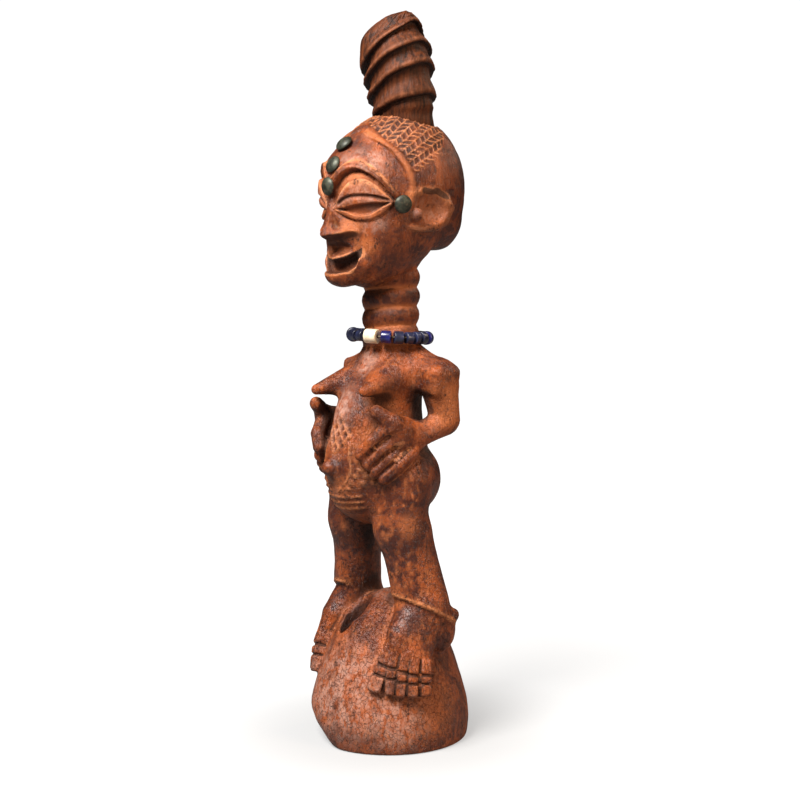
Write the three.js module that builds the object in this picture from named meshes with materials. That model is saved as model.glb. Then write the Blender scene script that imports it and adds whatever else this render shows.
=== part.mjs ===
// A carved standing figure with a horn on its crown, metal tacks on its face and a string of beads.
// Millimetres, +Z up. The figure faces -Y, and its own left side is +X.
import * as THREE from 'three';
import { mergeVertices } from 'three/addons/utils/BufferGeometryUtils.js';

// Driving dimensions. Heights are counted from a level a little above the underside.
const UNDERSIDE = -1.5;
const BASE_RADIUS = 54.4;
const BASE_TOP = 98;
const HIP_HEIGHT = 177;
const SHOULDER_HEIGHT = 249;
const NECK_FOOT = 266;
const NECK_RING = 12.6;
const HEAD_CENTRE = 371;
const HEAD_HALF_WIDTH = 38.5;
const HORN_FOOT = 414;
const HORN_TALL = 74;
const SEAT_FLOOR = 409.5;
const SEAT_GAP = 0.6;
const TACK_RADIUS = 6;
const NECKLACE_RADIUS = 24.8;
const TOUCH_GAP = 0.35;

// The carving is described by forms: functions that give the distance from a point to the
// surface, below zero inside the wood. Forms are joined and cut with a soft fillet.
const mix = (a, b, t) => a + (b - a) * t;
const limit = (t, low, high) => Math.min(high, Math.max(low, t));

function rise(t, low, high) {
  const s = limit((t - low) / (high - low), 0, 1);
  return s * s * (3 - 2 * s);
}

function softMin(a, b, soft) {
  const h = limit(0.5 + 0.5 * (b - a) / soft, 0, 1);
  return mix(b, a, h) - soft * h * (1 - h);
}

function join(soft, first, ...others) {
  return (x, y, z) => others.reduce((d, form) => softMin(d, form(x, y, z), soft), first(x, y, z));
}

function cut(soft, body, tool) {
  return (x, y, z) => -softMin(-body(x, y, z), tool(x, y, z), soft);
}

function raise(body, relief) {
  return (x, y, z) => body(x, y, z) - relief(x, y, z);
}

function bothSides(form) {
  return (x, y, z) => form(Math.abs(x), y, z);
}

// Moves a point into the frame of a form that is turned about Z, tipped about X, rolled about Y.
function placer(centre, { yaw = 0, pitch = 0, roll = 0 } = {}) {
  const turns = [[yaw, 0, 1], [pitch, 1, 2], [roll, 2, 0]]
    .filter(([angle]) => angle !== 0)
    .map(([angle, i, j]) => {
      const radians = THREE.MathUtils.degToRad(angle);
      return [Math.cos(radians), Math.sin(radians), i, j];
    });
  return (x, y, z) => {
    const q = [x - centre[0], y - centre[1], z - centre[2]];
    for (const [c, s, i, j] of turns) {
      const a = q[i];
      const b = q[j];
      q[i] = c * a + s * b;
      q[j] = -s * a + c * b;
    }
    return q;
  };
}

function egg(centre, radii, turned) {
  const place = placer(centre, turned);
  const [rx, ry, rz] = radii;
  return (x, y, z) => {
    const q = place(x, y, z);
    const k = Math.hypot(q[0] / rx, q[1] / ry, q[2] / rz);
    const g = Math.hypot(q[0] / rx ** 2, q[1] / ry ** 2, q[2] / rz ** 2);
    return g > 1e-9 ? k * (k - 1) / g : -Math.min(rx, ry, rz);
  };
}

function limb(a, b, radiusA, radiusB) {
  const ab = [b[0] - a[0], b[1] - a[1], b[2] - a[2]];
  const squared = ab[0] ** 2 + ab[1] ** 2 + ab[2] ** 2;
  return (x, y, z) => {
    const q = [x - a[0], y - a[1], z - a[2]];
    const h = limit((q[0] * ab[0] + q[1] * ab[1] + q[2] * ab[2]) / squared, 0, 1);
    return Math.hypot(q[0] - h * ab[0], q[1] - h * ab[1], q[2] - h * ab[2]) - mix(radiusA, radiusB, h);
  };
}

function block(centre, half, edge, turned) {
  const place = placer(centre, turned);
  return (x, y, z) => {
    const q = place(x, y, z).map((v, i) => Math.abs(v) - half[i] + edge);
    const outside = Math.hypot(Math.max(q[0], 0), Math.max(q[1], 0), Math.max(q[2], 0));
    return outside + Math.min(Math.max(...q), 0) - edge;
  };
}

// Everything on the side of a plane that its direction points away from.
function below(point, [a, b, c]) {
  return (x, y, z) => (x - point[0]) * a + (y - point[1]) * b + (z - point[2]) * c;
}

// A smooth line through stations [t, value], with the slope at each taken from its neighbours.
function line(stations) {
  const last = stations.length - 1;
  const slope = stations.map(([t, v], i) => {
    if (i === 0) return (stations[1][1] - v) / (stations[1][0] - t);
    if (i === last) return (v - stations[last - 1][1]) / (t - stations[last - 1][0]);
    const before = t - stations[i - 1][0];
    const after = stations[i + 1][0] - t;
    const down = (v - stations[i - 1][1]) / before;
    const up = (stations[i + 1][1] - v) / after;
    return (down * after + up * before) / (before + after);
  });
  return (t) => {
    let i = 0;
    while (i < last - 1 && t > stations[i + 1][0]) i += 1;
    const [t0, v0] = stations[i];
    const [t1, v1] = stations[i + 1];
    const w = t1 - t0;
    const s = limit((t - t0) / w, 0, 1);
    const r = 1 - s;
    const values = (1 + 2 * s) * r * r * v0 + s * s * (3 - 2 * s) * v1;
    return values + s * r * w * (r * slope[i] - s * slope[i + 1]);
  };
}

// A standing form from oval slices [height, centre y, half width, half depth], flat at both ends.
function column(slices) {
  const low = slices[0][0];
  const high = slices[slices.length - 1][0];
  const [centreY, halfWidth, halfDepth] = [1, 2, 3].map((i) => line(slices.map((s) => [s[0], s[i]])));
  return (x, y, z) => {
    const h = limit(z, low, high);
    const rx = halfWidth(h);
    const ry = halfDepth(h);
    const v = y - centreY(h);
    const k = Math.hypot(x / rx, v / ry);
    const g = Math.hypot(x / rx ** 2, v / ry ** 2);
    const side = g > 1e-9 ? k * (k - 1) / g : -Math.min(rx, ry);
    return Math.max(side, low - z, z - high);
  };
}

// The domed base. Its front right edge is chipped to a slope, and a hollow is cut beside the foot.
function baseForm() {
  const radii = [[-20, 50], [-2, 53], [6, 54.2], [12, BASE_RADIUS], [20, 53.7], [28, 51.7], [36, 49],
    [44, 46], [55, 41.2], [66, 35.5], [78, 28]];
  const skirt = column(radii.map(([height, radius]) => [height, 0, radius, radius]));
  const dome = egg([0, 0, 20], [46.5, 46.5, BASE_TOP - 20]);
  const mound = egg([4, 8, 80], [22, 22, 16.5]);
  const whole = join(10, join(10, skirt, dome), mound);
  const chipped = cut(6, whole, below([-31.2, -37.2, 10.1], [0.46, 0.55, 0.69]));
  const flat = cut(2, chipped, below([0, 0, UNDERSIDE], [0, 0, 1]));
  return cut(4, flat, egg([-10, -21.5, 86], [9.5, 13.5, 26]));
}

// One foot spread over the slope of the dome. Each toe is a root, a knuckle and a tip.
const TOES = [
  { root: [34.5, -25, 70], knuckle: [32.5, -32, 58], tip: [30.5, -36.3, 44.5], thick: 5.2, end: 4.8 },
  { root: [37, -24, 70], knuckle: [38, -29.5, 56.5], tip: [38.2, -31, 43], thick: 4.0, end: 4.1 },
  { root: [41, -20, 67], knuckle: [43, -25, 54], tip: [43.2, -26.8, 41.5], thick: 4.0, end: 4.1 },
  { root: [44.5, -15.5, 65], knuckle: [47.5, -20.5, 52], tip: [48.8, -21.7, 41], thick: 4.0, end: 4.1 },
  { root: [47.5, -10, 61], knuckle: [51, -13, 51], tip: [53, -14.3, 40.5], thick: 4.1, end: 4.2 },
];

function footForm() {
  const ankle = egg([35, 8, 82], [14, 14, 17]);
  const fan = TOES.map(({ root }) => limb([34, -1, 86], root, 13.5, 5.5));
  const instep = limb([34, -3, 93], [35, -19, 79], 12.5, 8.5);
  const heel = egg([36, 12, 74], [11, 12, 14]);
  const knob = limb([38, 13.5, 87], [43, 19.5, 86], 7, 4.6);
  const spread = join(3, join(8, join(6, ankle, ...fan, instep), heel), knob);
  const toes = TOES.map(({ root, knuckle, tip, thick, end }) => (
    join(1, limb(root, knuckle, thick + 1.6, end + 1.4), limb(knuckle, tip, end + 1.4, end + 1.2))));
  return join(1.6, spread, ...toes);
}

function legForm() {
  const thigh = limb([22, -7.5, 178], [24, -11, 147], 22, 17);
  const shin = limb([25, -10.5, 147], [31.5, -3, 96], 15.5, 14);
  const calf = limb([27, -2, 142], [36, 5.5, 96], 12, 13);
  const buttock = egg([17.5, 9.5, HIP_HEIGHT], [16.5, 16.5, 21]);
  return join(8, thigh, shin, calf, buttock);
}

// The hands lie on the belly with the thumbs raised and the finger tips along one slanting line.
const FINGERS = [
  { root: [34.3, -29.8, 215.5], knuckle: [29.1, -38.3, 206.7], tip: [22.3, -42.5, 198.2] },
  { root: [35.3, -23, 209.3], knuckle: [31.8, -32.7, 201.1], tip: [25.8, -39, 192.2] },
  { root: [35.8, -16.2, 202.6], knuckle: [34, -27.6, 195], tip: [28.3, -34.6, 186.6] },
  { root: [38.3, -11.9, 199.3], knuckle: [37.5, -23.3, 190.7], tip: [31.5, -30.5, 182.5] },
];

function handForm() {
  const palm = egg([34.5, -14.6, 208], [8, 16, 12], { yaw: 10, pitch: -32 });
  const fingers = FINGERS.map(({ root, knuckle, tip }) => (
    join(1, limb(root, knuckle, 4.9, 4.6), limb(knuckle, tip, 4.6, 4.2))));
  const ball = limb([34.5, -10, 213], [37, -27, 219], 7, 6);
  const thumb = limb([37, -27, 219], [32, -37, 226.5], 5.8, 4.7);
  return join(4, join(1.5, palm, ...fingers), join(2, ball, thumb));
}

function armForm() {
  const upper = limb([36.5, 12, SHOULDER_HEIGHT - 3], [38.5, 16.5, 219], 13.3, 10);
  const fore = limb([38.5, 15.5, 216], [35, -4, 209], 8.8, 8);
  return join(5, join(3, upper, fore), handForm());
}

function torsoForm() {
  const trunk = column([[165, -3, 25, 24], [195, -9.5, 27, 34], [210, -9.5, 26, 33.5], [225, -8.5, 25.5, 31],
    [235, -6.5, 26, 28], [245, -3, 27.5, 24.5], [258, 1, 25, 20], [268, 2, 18, 16]]);
  const belly = egg([0, -11, 180], [28, 36.5, 34]);
  const shoulder = block([20, 10, SHOULDER_HEIGHT], [30, 12, 10], 5, { roll: 9 });
  const slope = limb([12, 7, 263.8], [34, 12, 253.5], 6.5, 5);
  const leftBreast = limb([17, -14, 245.5], [25.7, -42, 239.5], 11.5, 3.6);
  const rightBreast = limb([-17, -14, 243.5], [-25.7, -42, 237], 11.5, 3.6);
  const navel = limb([0, -42, 187], [0, -50.5, 187.5], 10, 5.6);
  const chest = join(10, join(14, trunk, belly), bothSides(shoulder));
  return join(6, join(7, join(8, chest, bothSides(slope)), leftBreast, rightBreast), navel);
}

// The neck is a stack of soft rings that rise a little toward the figure's left.
function neckForm() {
  const slant = 0.12;
  const core = column([[255, 2, 18.6, 18.6], [275, 1.5, 18, 18], [305, 2, 18, 18], [330, 3.6, 17, 16.4]]);
  const rings = (x, y, z) => {
    const turn = (z - slant * x - NECK_FOOT) / NECK_RING;
    return 2.4 * Math.abs(Math.sin(turn * Math.PI)) ** 0.8 - 1;
  };
  return raise(core, rings);
}

function skullForm() {
  const skull = egg([0, 7.6, HEAD_CENTRE], [HEAD_HALF_WIDTH, 47.6, 50]);
  const brow = egg([0, -1.5, 374], [37, 48, 34.5]);
  const face = egg([0, -13, 343], [31, 32.5, 38], { pitch: -4 });
  const jaw = egg([0, -27, 323], [17, 22, 12], { pitch: 12 });
  const chin = egg([0, -41, 314.5], [10, 9, 7.5]);
  const nape = egg([0, 27.5, 349], [28, 26.5, 23]);
  const whole = join(8, join(10, join(14, join(6, skull, brow), face), jaw), chin, nape);
  const underNape = (x, y, z) => Math.max(z - 329.5, 20 - y);
  return cut(3, whole, underNape);
}

// The face is drawn on a chart: the angle round the head from the nose, and the height.
const HEAD_AXIS_Y = 5;
const chartAngle = (x, y) => THREE.MathUtils.radToDeg(Math.atan2(x, HEAD_AXIS_Y - y));
const swell = (t) => limit(1 - t * t, 0, 1) ** 2;

const browRim = line([[-2, 365], [3, 371], [10, 379.5], [18, 382.8], [28, 380.5], [40, 373], [51, 362.5],
  [56, 358]]);
const browWidth = line([[-2, 9], [3, 7], [10, 5.5], [56, 5.5]]);
const lidTop = line([[3, 357.5], [5, 361], [12, 371], [23, 377], [34, 374], [44, 366.5], [50, 362]]);
const lidLow = line([[3, 357.5], [5, 356], [15, 351.5], [27, 350], [38, 353], [46, 358.5], [50, 361.5]]);
const crease = line([[3, 358], [12, 364], [26, 366.3], [40, 364.5], [50, 362]]);
const slitTop = line([[3, 357.3], [9.7, 357.3], [20, 359.6], [30, 361], [45, 361.5], [50, 361.7]]);
const slitLow = line([[3, 357.2], [9.7, 356.6], [20, 353.6], [30, 354], [45, 360.5], [50, 361.6]]);

// Height of the eye over the plain face: a recess under the brow, a full lid, its crease and slit.
function eyeRelief(x, y, z) {
  const a = chartAngle(x, y);
  const inside = rise(a, 0.5, 5) * (1 - rise(a, 48, 53));
  if (inside === 0 || z < 340 || z > 392) return 0;
  const [rim, top, low] = [browRim(a), lidTop(a), lidLow(a)];
  const recess = rise(rim - z, -1.5, 1.5) * rise(z, low - 4, low + 2);
  const fall = limit((z - top) / Math.max(rim - top, 2), 0, 1);
  const across = limit((z - low) / Math.max(top - low, 0.5), 0, 1);
  const lid = rise(z, low - 0.6, low + 0.8) * (1 - rise(z, top - 0.8, top + 0.8));
  const width = rise(a, 4, 9) * (1 - rise(a, 43, 49));
  const fold = rise(z, crease(a) - 3.2, crease(a)) * (1 - rise(z, crease(a) + 0.2, crease(a) + 1.1));
  const slit = limit(z - slitLow(a) + 0.5, 0, 1) * limit(slitTop(a) - z + 0.5, 0, 1);
  const full = 1.8 + 2.6 * Math.sqrt(Math.max(across * (1 - across), 0));
  return inside * (lid * full - recess * (1.2 + 3.4 * fall) - width * (1.9 * fold + 3.2 * slit));
}

function browRelief(x, y, z) {
  const a = chartAngle(x, y);
  const ends = rise(a, -3, 3) * (1 - rise(a, 50, 55));
  if (ends === 0) return 0;
  const rim = browRim(a);
  const top = rim + browWidth(a);
  const band = 1.1 * rise(z, rim - 0.5, rim + 0.8) * (1 - rise(z, top - 0.5, top + 1.2));
  return ends * (band + 0.5 * swell((z - top) / 1.6));
}

// The coiffure stands proud of the forehead and starts with a rounded border.
const hairHeight = line([[0, 409], [10, 406.5], [25, 403], [38, 399], [50, 392], [60, 382], [90, 366]]);
const hairAngle = line([[335, 62], [345, 62], [358, 62.5], [368, 63.5], [378, 62], [388, 55], [399, 38],
  [405, 14], [420, -60]]);

function hairRelief(x, y, z) {
  if (z < 350) return 0;
  const a = chartAngle(x, y);
  const reach = Math.max(Math.hypot(x, y - HEAD_AXIS_Y), 10);
  const fromSide = THREE.MathUtils.degToRad(a - hairAngle(z)) * reach;
  const fromTop = z - hairHeight(a);
  const behind = 0.8 * mix(fromTop, fromSide, limit((a - 30) / 25, 0, 1));
  const proud = rise(z, 352, 362) * mix(0.4, 1, rise(a, 10, 45));
  return proud * (1.2 * rise(behind, -1.5, 0.5) + 1.1 * swell((behind - 1.8) / 3.4));
}

function headForm() {
  const faceHeight = (z) => rise(z, 335, 345);
  const relief = (x, y, z) => (
    faceHeight(z) * (eyeRelief(x, y, z) + browRelief(x, y, z)) + hairRelief(x, y, z));
  const carved = raise(skullForm(), relief);
  const noseRidge = limb([0, -44, 372], [0, -50.6, 343], 3.2, 3.4);
  const noseWing = limb([0, -52.4, 339.4], [14, -42, 340.3], 4.2, 4.6);
  const underNose = egg([5, -47, 331.5], [9, 6.5, 4.2], { yaw: 20 });
  const noseSide = limb([1, -47, 357], [11, -43, 344], 2.6, 4);
  const fullNose = join(4, join(5, noseRidge, noseWing), noseSide);
  const undercut = below([0, -55.4, 338.6], [-0.451, 0.351, 0.821]);
  const nose = cut(1.5, join(2.5, carved, cut(0.7, fullNose, undercut)), underNose);
  const lips = join(4, nose, egg([0, -33.6, 322.5], [21, 11.5, 10.5]));
  const earTurn = { yaw: -6, pitch: -8 };
  const earRim = egg([35.3, 5, 357], [5.4, 18, 14.5], earTurn);
  const earHollow = egg([42.4, 4, 357.3], [7.6, 15, 10.5], earTurn);
  const earKnob = egg([37.2, -7.5, 353.5], [4, 4.2, 4.6]);
  const earSlot = egg([38.5, 3, 340.3], [5, 9, 1.7], earTurn);
  const ear = join(1.2, cut(1, join(1, lips, earRim), earHollow), earKnob);
  return bothSides(cut(1, ear, earSlot));
}

// A half moon with raised corners, open to the front.
function mouthForm() {
  const upper = line([[0, 324], [7, 325.2], [14, 328.6], [18, 331.2]]);
  const lower = line([[0, 315.3], [7, 316], [14, 319.8], [18, 327]]);
  const back = line([[0, -40], [7, -39], [14, -35], [18, -32]]);
  const halfWidth = 17.6;
  return bothSides((x, y, z) => (
    Math.max(0.9 * Math.max(z - upper(x), lower(x) - z), y - back(x), x - halfWidth)));
}

// The horn leans forward, and its foot stands in a round seat sunk in the crown.
const HORN_AXIS_LOW = new THREE.Vector3(1.2, 13.6, HORN_FOOT);
const HORN_AXIS_HIGH = new THREE.Vector3(-1.8, 1.6, HORN_FOOT + HORN_TALL);
const HORN_FOOT_RADIUS = 19;

function seatForm() {
  const along = HORN_AXIS_HIGH.clone().sub(HORN_AXIS_LOW).normalize();
  return (x, y, z) => {
    const q = new THREE.Vector3(x, y, z).sub(HORN_AXIS_LOW);
    const off = q.addScaledVector(along, -q.dot(along)).length();
    return Math.max(off - HORN_FOOT_RADIUS - SEAT_GAP, SEAT_FLOOR - z);
  };
}

function figureForm() {
  const lower = join(4, join(2.5, baseForm(), bothSides(footForm())), bothSides(legForm()));
  const body = join(3, join(5, lower, torsoForm()), bothSides(armForm()), neckForm());
  const whole = cut(1, join(2.5, body, headForm()), mouthForm());
  const seat = seatForm();
  return (x, y, z) => Math.max(whole(x, y, z), -seat(x, y, z), UNDERSIDE - z);
}

// Marching tetrahedra: every cube of a lattice is six tetrahedra round one diagonal.
const CUBE_TETRAHEDRA = [[0, 1, 3, 7], [0, 3, 2, 7], [0, 2, 6, 7], [0, 6, 4, 7], [0, 4, 5, 7], [0, 5, 1, 7]];

// Fills a lattice with distances. Blocks that lie far from the surface take one value for all.
function fillNear(form, value, count, stride, at, step) {
  const side = 4;
  const farOff = 1.6 * side * step;
  for (let k = 0; k < count[2]; k += side) {
    for (let j = 0; j < count[1]; j += side) {
      for (let i = 0; i < count[0]; i += side) {
        const corner = at(i + j * stride[1] + k * stride[2]);
        const middle = form(...corner.map((v) => v + side * step / 2));
        const far = Math.abs(middle) > farOff;
        for (let c = k; c < Math.min(k + side, count[2]); c += 1) {
          for (let b = j; b < Math.min(j + side, count[1]); b += 1) {
            for (let a = i; a < Math.min(i + side, count[0]); a += 1) {
              const id = a + b * stride[1] + c * stride[2];
              value[id] = far ? middle : form(...at(id));
            }
          }
        }
      }
    }
  }
}

function wrap(form, low, high, step) {
  const count = [0, 1, 2].map((i) => Math.ceil((high[i] - low[i]) / step) + 1);
  const stride = [1, count[0], count[0] * count[1]];
  const value = new Float64Array(count[0] * count[1] * count[2]);
  const at = (id) => [
    low[0] + step * (id % count[0]),
    low[1] + step * (Math.floor(id / stride[1]) % count[1]),
    low[2] + step * Math.floor(id / stride[2]),
  ];
  fillNear(form, value, count, stride, at, step);
  const endRoom = 0.06;
  const points = [];
  const found = new Map();
  const crossing = (a, b) => {
    const key = Math.min(a, b) * value.length + Math.max(a, b);
    if (!found.has(key)) {
      const t = limit(value[a] / (value[a] - value[b]), endRoom, 1 - endRoom);
      const [p, q] = [at(a), at(b)];
      found.set(key, points.push([0, 1, 2].map((i) => mix(p[i], q[i], t))) - 1);
    }
    return found.get(key);
  };
  const faces = [];
  const addFace = (a, b, c, inner, outer) => {
    const [p, q, r] = [a, b, c].map((i) => new THREE.Vector3(...points[i]));
    const normal = q.sub(p).cross(r.sub(p));
    const outward = new THREE.Vector3(...at(outer)).sub(new THREE.Vector3(...at(inner)));
    faces.push(normal.dot(outward) > 0 ? [a, b, c] : [a, c, b]);
  };
  const corners = Array.from({ length: 8 }, (_, i) => (
    (i & 1) * stride[0] + ((i >> 1) & 1) * stride[1] + ((i >> 2) & 1) * stride[2]));
  for (let k = 0; k < count[2] - 1; k += 1) {
    for (let j = 0; j < count[1] - 1; j += 1) {
      for (let i = 0; i < count[0] - 1; i += 1) {
        const ids = corners.map((c) => c + i + j * stride[1] + k * stride[2]);
        const insideCount = ids.reduce((n, id) => n + (value[id] < 0), 0);
        if (insideCount === 0 || insideCount === 8) continue;
        for (const tetrahedron of CUBE_TETRAHEDRA) {
          const inner = tetrahedron.map((c) => ids[c]).filter((id) => value[id] < 0);
          const outer = tetrahedron.map((c) => ids[c]).filter((id) => value[id] >= 0);
          if (inner.length === 1) addFace(...outer.map((o) => crossing(inner[0], o)), inner[0], outer[0]);
          if (inner.length === 3) addFace(...inner.map((n) => crossing(n, outer[0])), inner[0], outer[0]);
          if (inner.length === 2) {
            const [a, b] = outer.map((o) => crossing(inner[0], o));
            const [c, d] = outer.map((o) => crossing(inner[1], o));
            addFace(a, b, c, inner[0], outer[0]);
            addFace(b, d, c, inner[0], outer[1]);
          }
        }
      }
    }
  }
  return { points, faces };
}

// Thins a closed mesh: the edge whose loss changes the shape least goes first.
function thin({ points, faces }, wanted) {
  const quadrics = points.map(() => new Float64Array(10));
  const around = points.map(() => new Set());
  const normalOf = (face, moved, place) => {
    const [p, q, r] = face.map((i) => (moved.includes(i) ? place : points[i]));
    const u = [q[0] - p[0], q[1] - p[1], q[2] - p[2]];
    const v = [r[0] - p[0], r[1] - p[1], r[2] - p[2]];
    return [u[1] * v[2] - u[2] * v[1], u[2] * v[0] - u[0] * v[2], u[0] * v[1] - u[1] * v[0]];
  };
  faces.forEach((face, index) => {
    const n = normalOf(face, [], null);
    const area = Math.hypot(...n);
    face.forEach((i) => around[i].add(index));
    if (area < 1e-12) return;
    const p = points[face[0]];
    const [a, b, c] = n.map((v) => v / area);
    const d = -(a * p[0] + b * p[1] + c * p[2]);
    const plane = [a * a, a * b, a * c, a * d, b * b, b * c, b * d, c * c, c * d, d * d];
    face.forEach((i) => plane.forEach((v, j) => { quadrics[i][j] += v * area; }));
  });
  const error = (q, [x, y, z]) => (
    q[0] * x * x + 2 * q[1] * x * y + 2 * q[2] * x * z + 2 * q[3] * x
    + q[4] * y * y + 2 * q[5] * y * z + 2 * q[6] * y + q[7] * z * z + 2 * q[8] * z + q[9]);
  const evenness = 1e-3;
  const wellPosed = 1e-4;
  const farthest = 4;
  const leastTurn = 0.2;
  const price = (a, b) => {
    const q = quadrics[a].map((v, i) => v + quadrics[b][i]);
    const middle = [0, 1, 2].map((i) => (points[a][i] + points[b][i]) / 2);
    const choices = [middle, points[a], points[b]];
    const matrix = new THREE.Matrix3().set(q[0], q[1], q[2], q[1], q[4], q[5], q[2], q[5], q[7]);
    if (Math.abs(matrix.determinant()) > wellPosed * (q[0] + q[4] + q[7]) ** 3) {
      const best = new THREE.Vector3(-q[3], -q[6], -q[8]).applyMatrix3(matrix.invert());
      if (best.distanceTo(new THREE.Vector3(...middle)) < farthest) choices.push(best.toArray());
    }
    const [p, r] = [points[a], points[b]];
    const squared = (p[0] - r[0]) ** 2 + (p[1] - r[1]) ** 2 + (p[2] - r[2]) ** 2;
    const costs = choices.map((place) => error(q, place));
    const pick = costs.indexOf(Math.min(...costs));
    return { cost: costs[pick] + evenness * squared, place: choices[pick] };
  };
  const heap = [];
  const sift = (item) => {
    let i = heap.push(item) - 1;
    while (i > 0 && heap[(i - 1) >> 1].cost > heap[i].cost) {
      const parent = (i - 1) >> 1;
      [heap[i], heap[parent]] = [heap[parent], heap[i]];
      i = parent;
    }
  };
  const takeLeast = () => {
    const least = heap[0];
    const tail = heap.pop();
    if (heap.length > 0) {
      heap[0] = tail;
      for (let i = 0; ;) {
        const [l, r] = [2 * i + 1, 2 * i + 2];
        let small = i;
        if (l < heap.length && heap[l].cost < heap[small].cost) small = l;
        if (r < heap.length && heap[r].cost < heap[small].cost) small = r;
        if (small === i) break;
        [heap[i], heap[small]] = [heap[small], heap[i]];
        i = small;
      }
    }
    return least;
  };
  const version = new Int32Array(points.length);
  const offer = (a, b) => {
    const { cost, place } = price(a, b);
    sift({ cost, place, a, b, stamp: version[a] + version[b] });
  };
  const neighbours = (i) => new Set([...around[i]].flatMap((f) => faces[f]).filter((j) => j !== i));
  faces.forEach((face) => face.forEach((a, i) => {
    const b = face[(i + 1) % 3];
    if (a < b) offer(a, b);
  }));
  let left = faces.length;
  while (left > wanted && heap.length > 0) {
    const { a, b, place, stamp } = takeLeast();
    if (stamp !== version[a] + version[b] || around[a].size === 0 || around[b].size === 0) continue;
    const nearA = neighbours(a);
    if (!nearA.has(b)) continue;
    const nearB = neighbours(b);
    if ([...nearA].filter((i) => nearB.has(i)).length !== 2) continue;
    const shared = [...around[a]].filter((f) => around[b].has(f));
    const kept = [...around[a], ...around[b]].filter((f) => !shared.includes(f));
    const flips = kept.some((f) => {
      const before = normalOf(faces[f], [], null);
      const after = normalOf(faces[f], [a, b], place);
      const [sizeBefore, sizeAfter] = [Math.hypot(...before), Math.hypot(...after)];
      if (sizeAfter < 1e-6) return true;
      if (sizeBefore < 1e-3) return false;
      const dot = before[0] * after[0] + before[1] * after[1] + before[2] * after[2];
      return dot < leastTurn * sizeBefore * sizeAfter;
    });
    if (flips) continue;
    points[a] = [...place];
    quadrics[b].forEach((v, i) => { quadrics[a][i] += v; });
    shared.forEach((f) => faces[f].forEach((i) => around[i].delete(f)));
    around[b].forEach((f) => {
      faces[f] = faces[f].map((i) => (i === b ? a : i));
      around[a].add(f);
    });
    around[b].clear();
    left -= shared.length;
    version[a] += 1;
    neighbours(a).forEach((i) => { version[i] += 1; });
    neighbours(a).forEach((i) => neighbours(i).forEach((j) => {
      if (i < j || !nearA.has(j)) offer(i, j);
    }));
  }
  const live = new Set(around.flatMap((set) => [...set]));
  return { points, faces: [...live].map((f) => faces[f]) };
}

// Moves the points of a thinned mesh back onto the form.
function settle(form, { points, faces }) {
  const nudge = 0.05;
  const reach = 0.6;
  const leastSteep = 0.25;
  const used = new Set(faces.flat());
  used.forEach((i) => {
    for (let round = 0; round < 2; round += 1) {
      const [x, y, z] = points[i];
      const d = form(x, y, z);
      const ahead = [form(x + nudge, y, z), form(x, y + nudge, z), form(x, y, z + nudge)];
      const slope = ahead.map((v) => (v - d) / nudge);
      const steep = Math.max(Math.hypot(...slope) ** 2, leastSteep);
      const move = limit(d, -reach, reach) / steep;
      points[i] = points[i].map((v, axis) => v - move * slope[axis]);
    }
  });
  return { points, faces };
}

function toGeometry({ points, faces }) {
  const numbers = new Map([...new Set(faces.flat())].map((old, index) => [old, index]));
  const geometry = new THREE.BufferGeometry();
  const position = [...numbers.keys()].flatMap((i) => points[i]);
  geometry.setAttribute('position', new THREE.Float32BufferAttribute(position, 3));
  geometry.setIndex(faces.flat().map((i) => numbers.get(i)));
  return geometry;
}

// Merges the seam and the poles of a turned outline, so that it is one closed mesh.
function closeUp(geometry) {
  geometry.deleteAttribute('normal');
  geometry.deleteAttribute('uv');
  const merged = mergeVertices(geometry, 1e-3);
  const index = [];
  for (let i = 0; i < merged.index.count; i += 3) {
    const [a, b, c] = [0, 1, 2].map((j) => merged.index.getX(i + j));
    if (a !== b && b !== c && c !== a) index.push(a, b, c);
  }
  merged.setIndex(index);
  return merged;
}

// Keeps the largest connected piece of a mesh.
function largest({ points, faces }) {
  const parent = points.map((_, i) => i);
  const root = (i) => {
    let r = i;
    while (parent[r] !== r) r = parent[r];
    while (parent[i] !== r) [parent[i], i] = [r, parent[i]];
    return r;
  };
  faces.forEach(([a, b, c]) => {
    parent[root(b)] = root(a);
    parent[root(c)] = root(a);
  });
  const sizes = new Map();
  faces.forEach(([a]) => sizes.set(root(a), (sizes.get(root(a)) ?? 0) + 1));
  const biggest = [...sizes].sort((p, q) => q[1] - p[1])[0][0];
  return { points, faces: faces.filter(([a]) => root(a) === biggest) };
}

const wood = new THREE.MeshStandardMaterial({ color: 0x9a5530, roughness: 0.5, metalness: 0 });
const hornMaterial = new THREE.MeshStandardMaterial({ color: 0x4c3326, roughness: 0.55, metalness: 0 });
const tackMetal = new THREE.MeshStandardMaterial({ color: 0x3c4234, roughness: 0.45, metalness: 0.8 });
const cobaltGlass = new THREE.MeshStandardMaterial({ color: 0x16205c, roughness: 0.2, metalness: 0 });
const slateGlass = new THREE.MeshStandardMaterial({ color: 0x2a3350, roughness: 0.4, metalness: 0 });
const creamGlass = new THREE.MeshStandardMaterial({ color: 0xe2d3b0, roughness: 0.35, metalness: 0 });
const stringFibre = new THREE.MeshStandardMaterial({ color: 0x6b5a44, roughness: 0.9, metalness: 0 });

const figureGroup = new THREE.Group();
figureGroup.position.z = -UNDERSIDE;

function addMesh(name, geometry, material, parent = figureGroup) {
  const mesh = new THREE.Mesh(geometry, material);
  mesh.name = name;
  parent.add(mesh);
  return mesh;
}

// The carved figure and its base are one piece of wood.
const LATTICE_STEP = 2.6;
const LATTICE_LOW = [-61.1, -61.3, -5.7];
const LATTICE_HIGH = [61.3, 61.1, 428];
const FIGURE_FACES = 6400;
const woodForm = figureForm();

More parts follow.
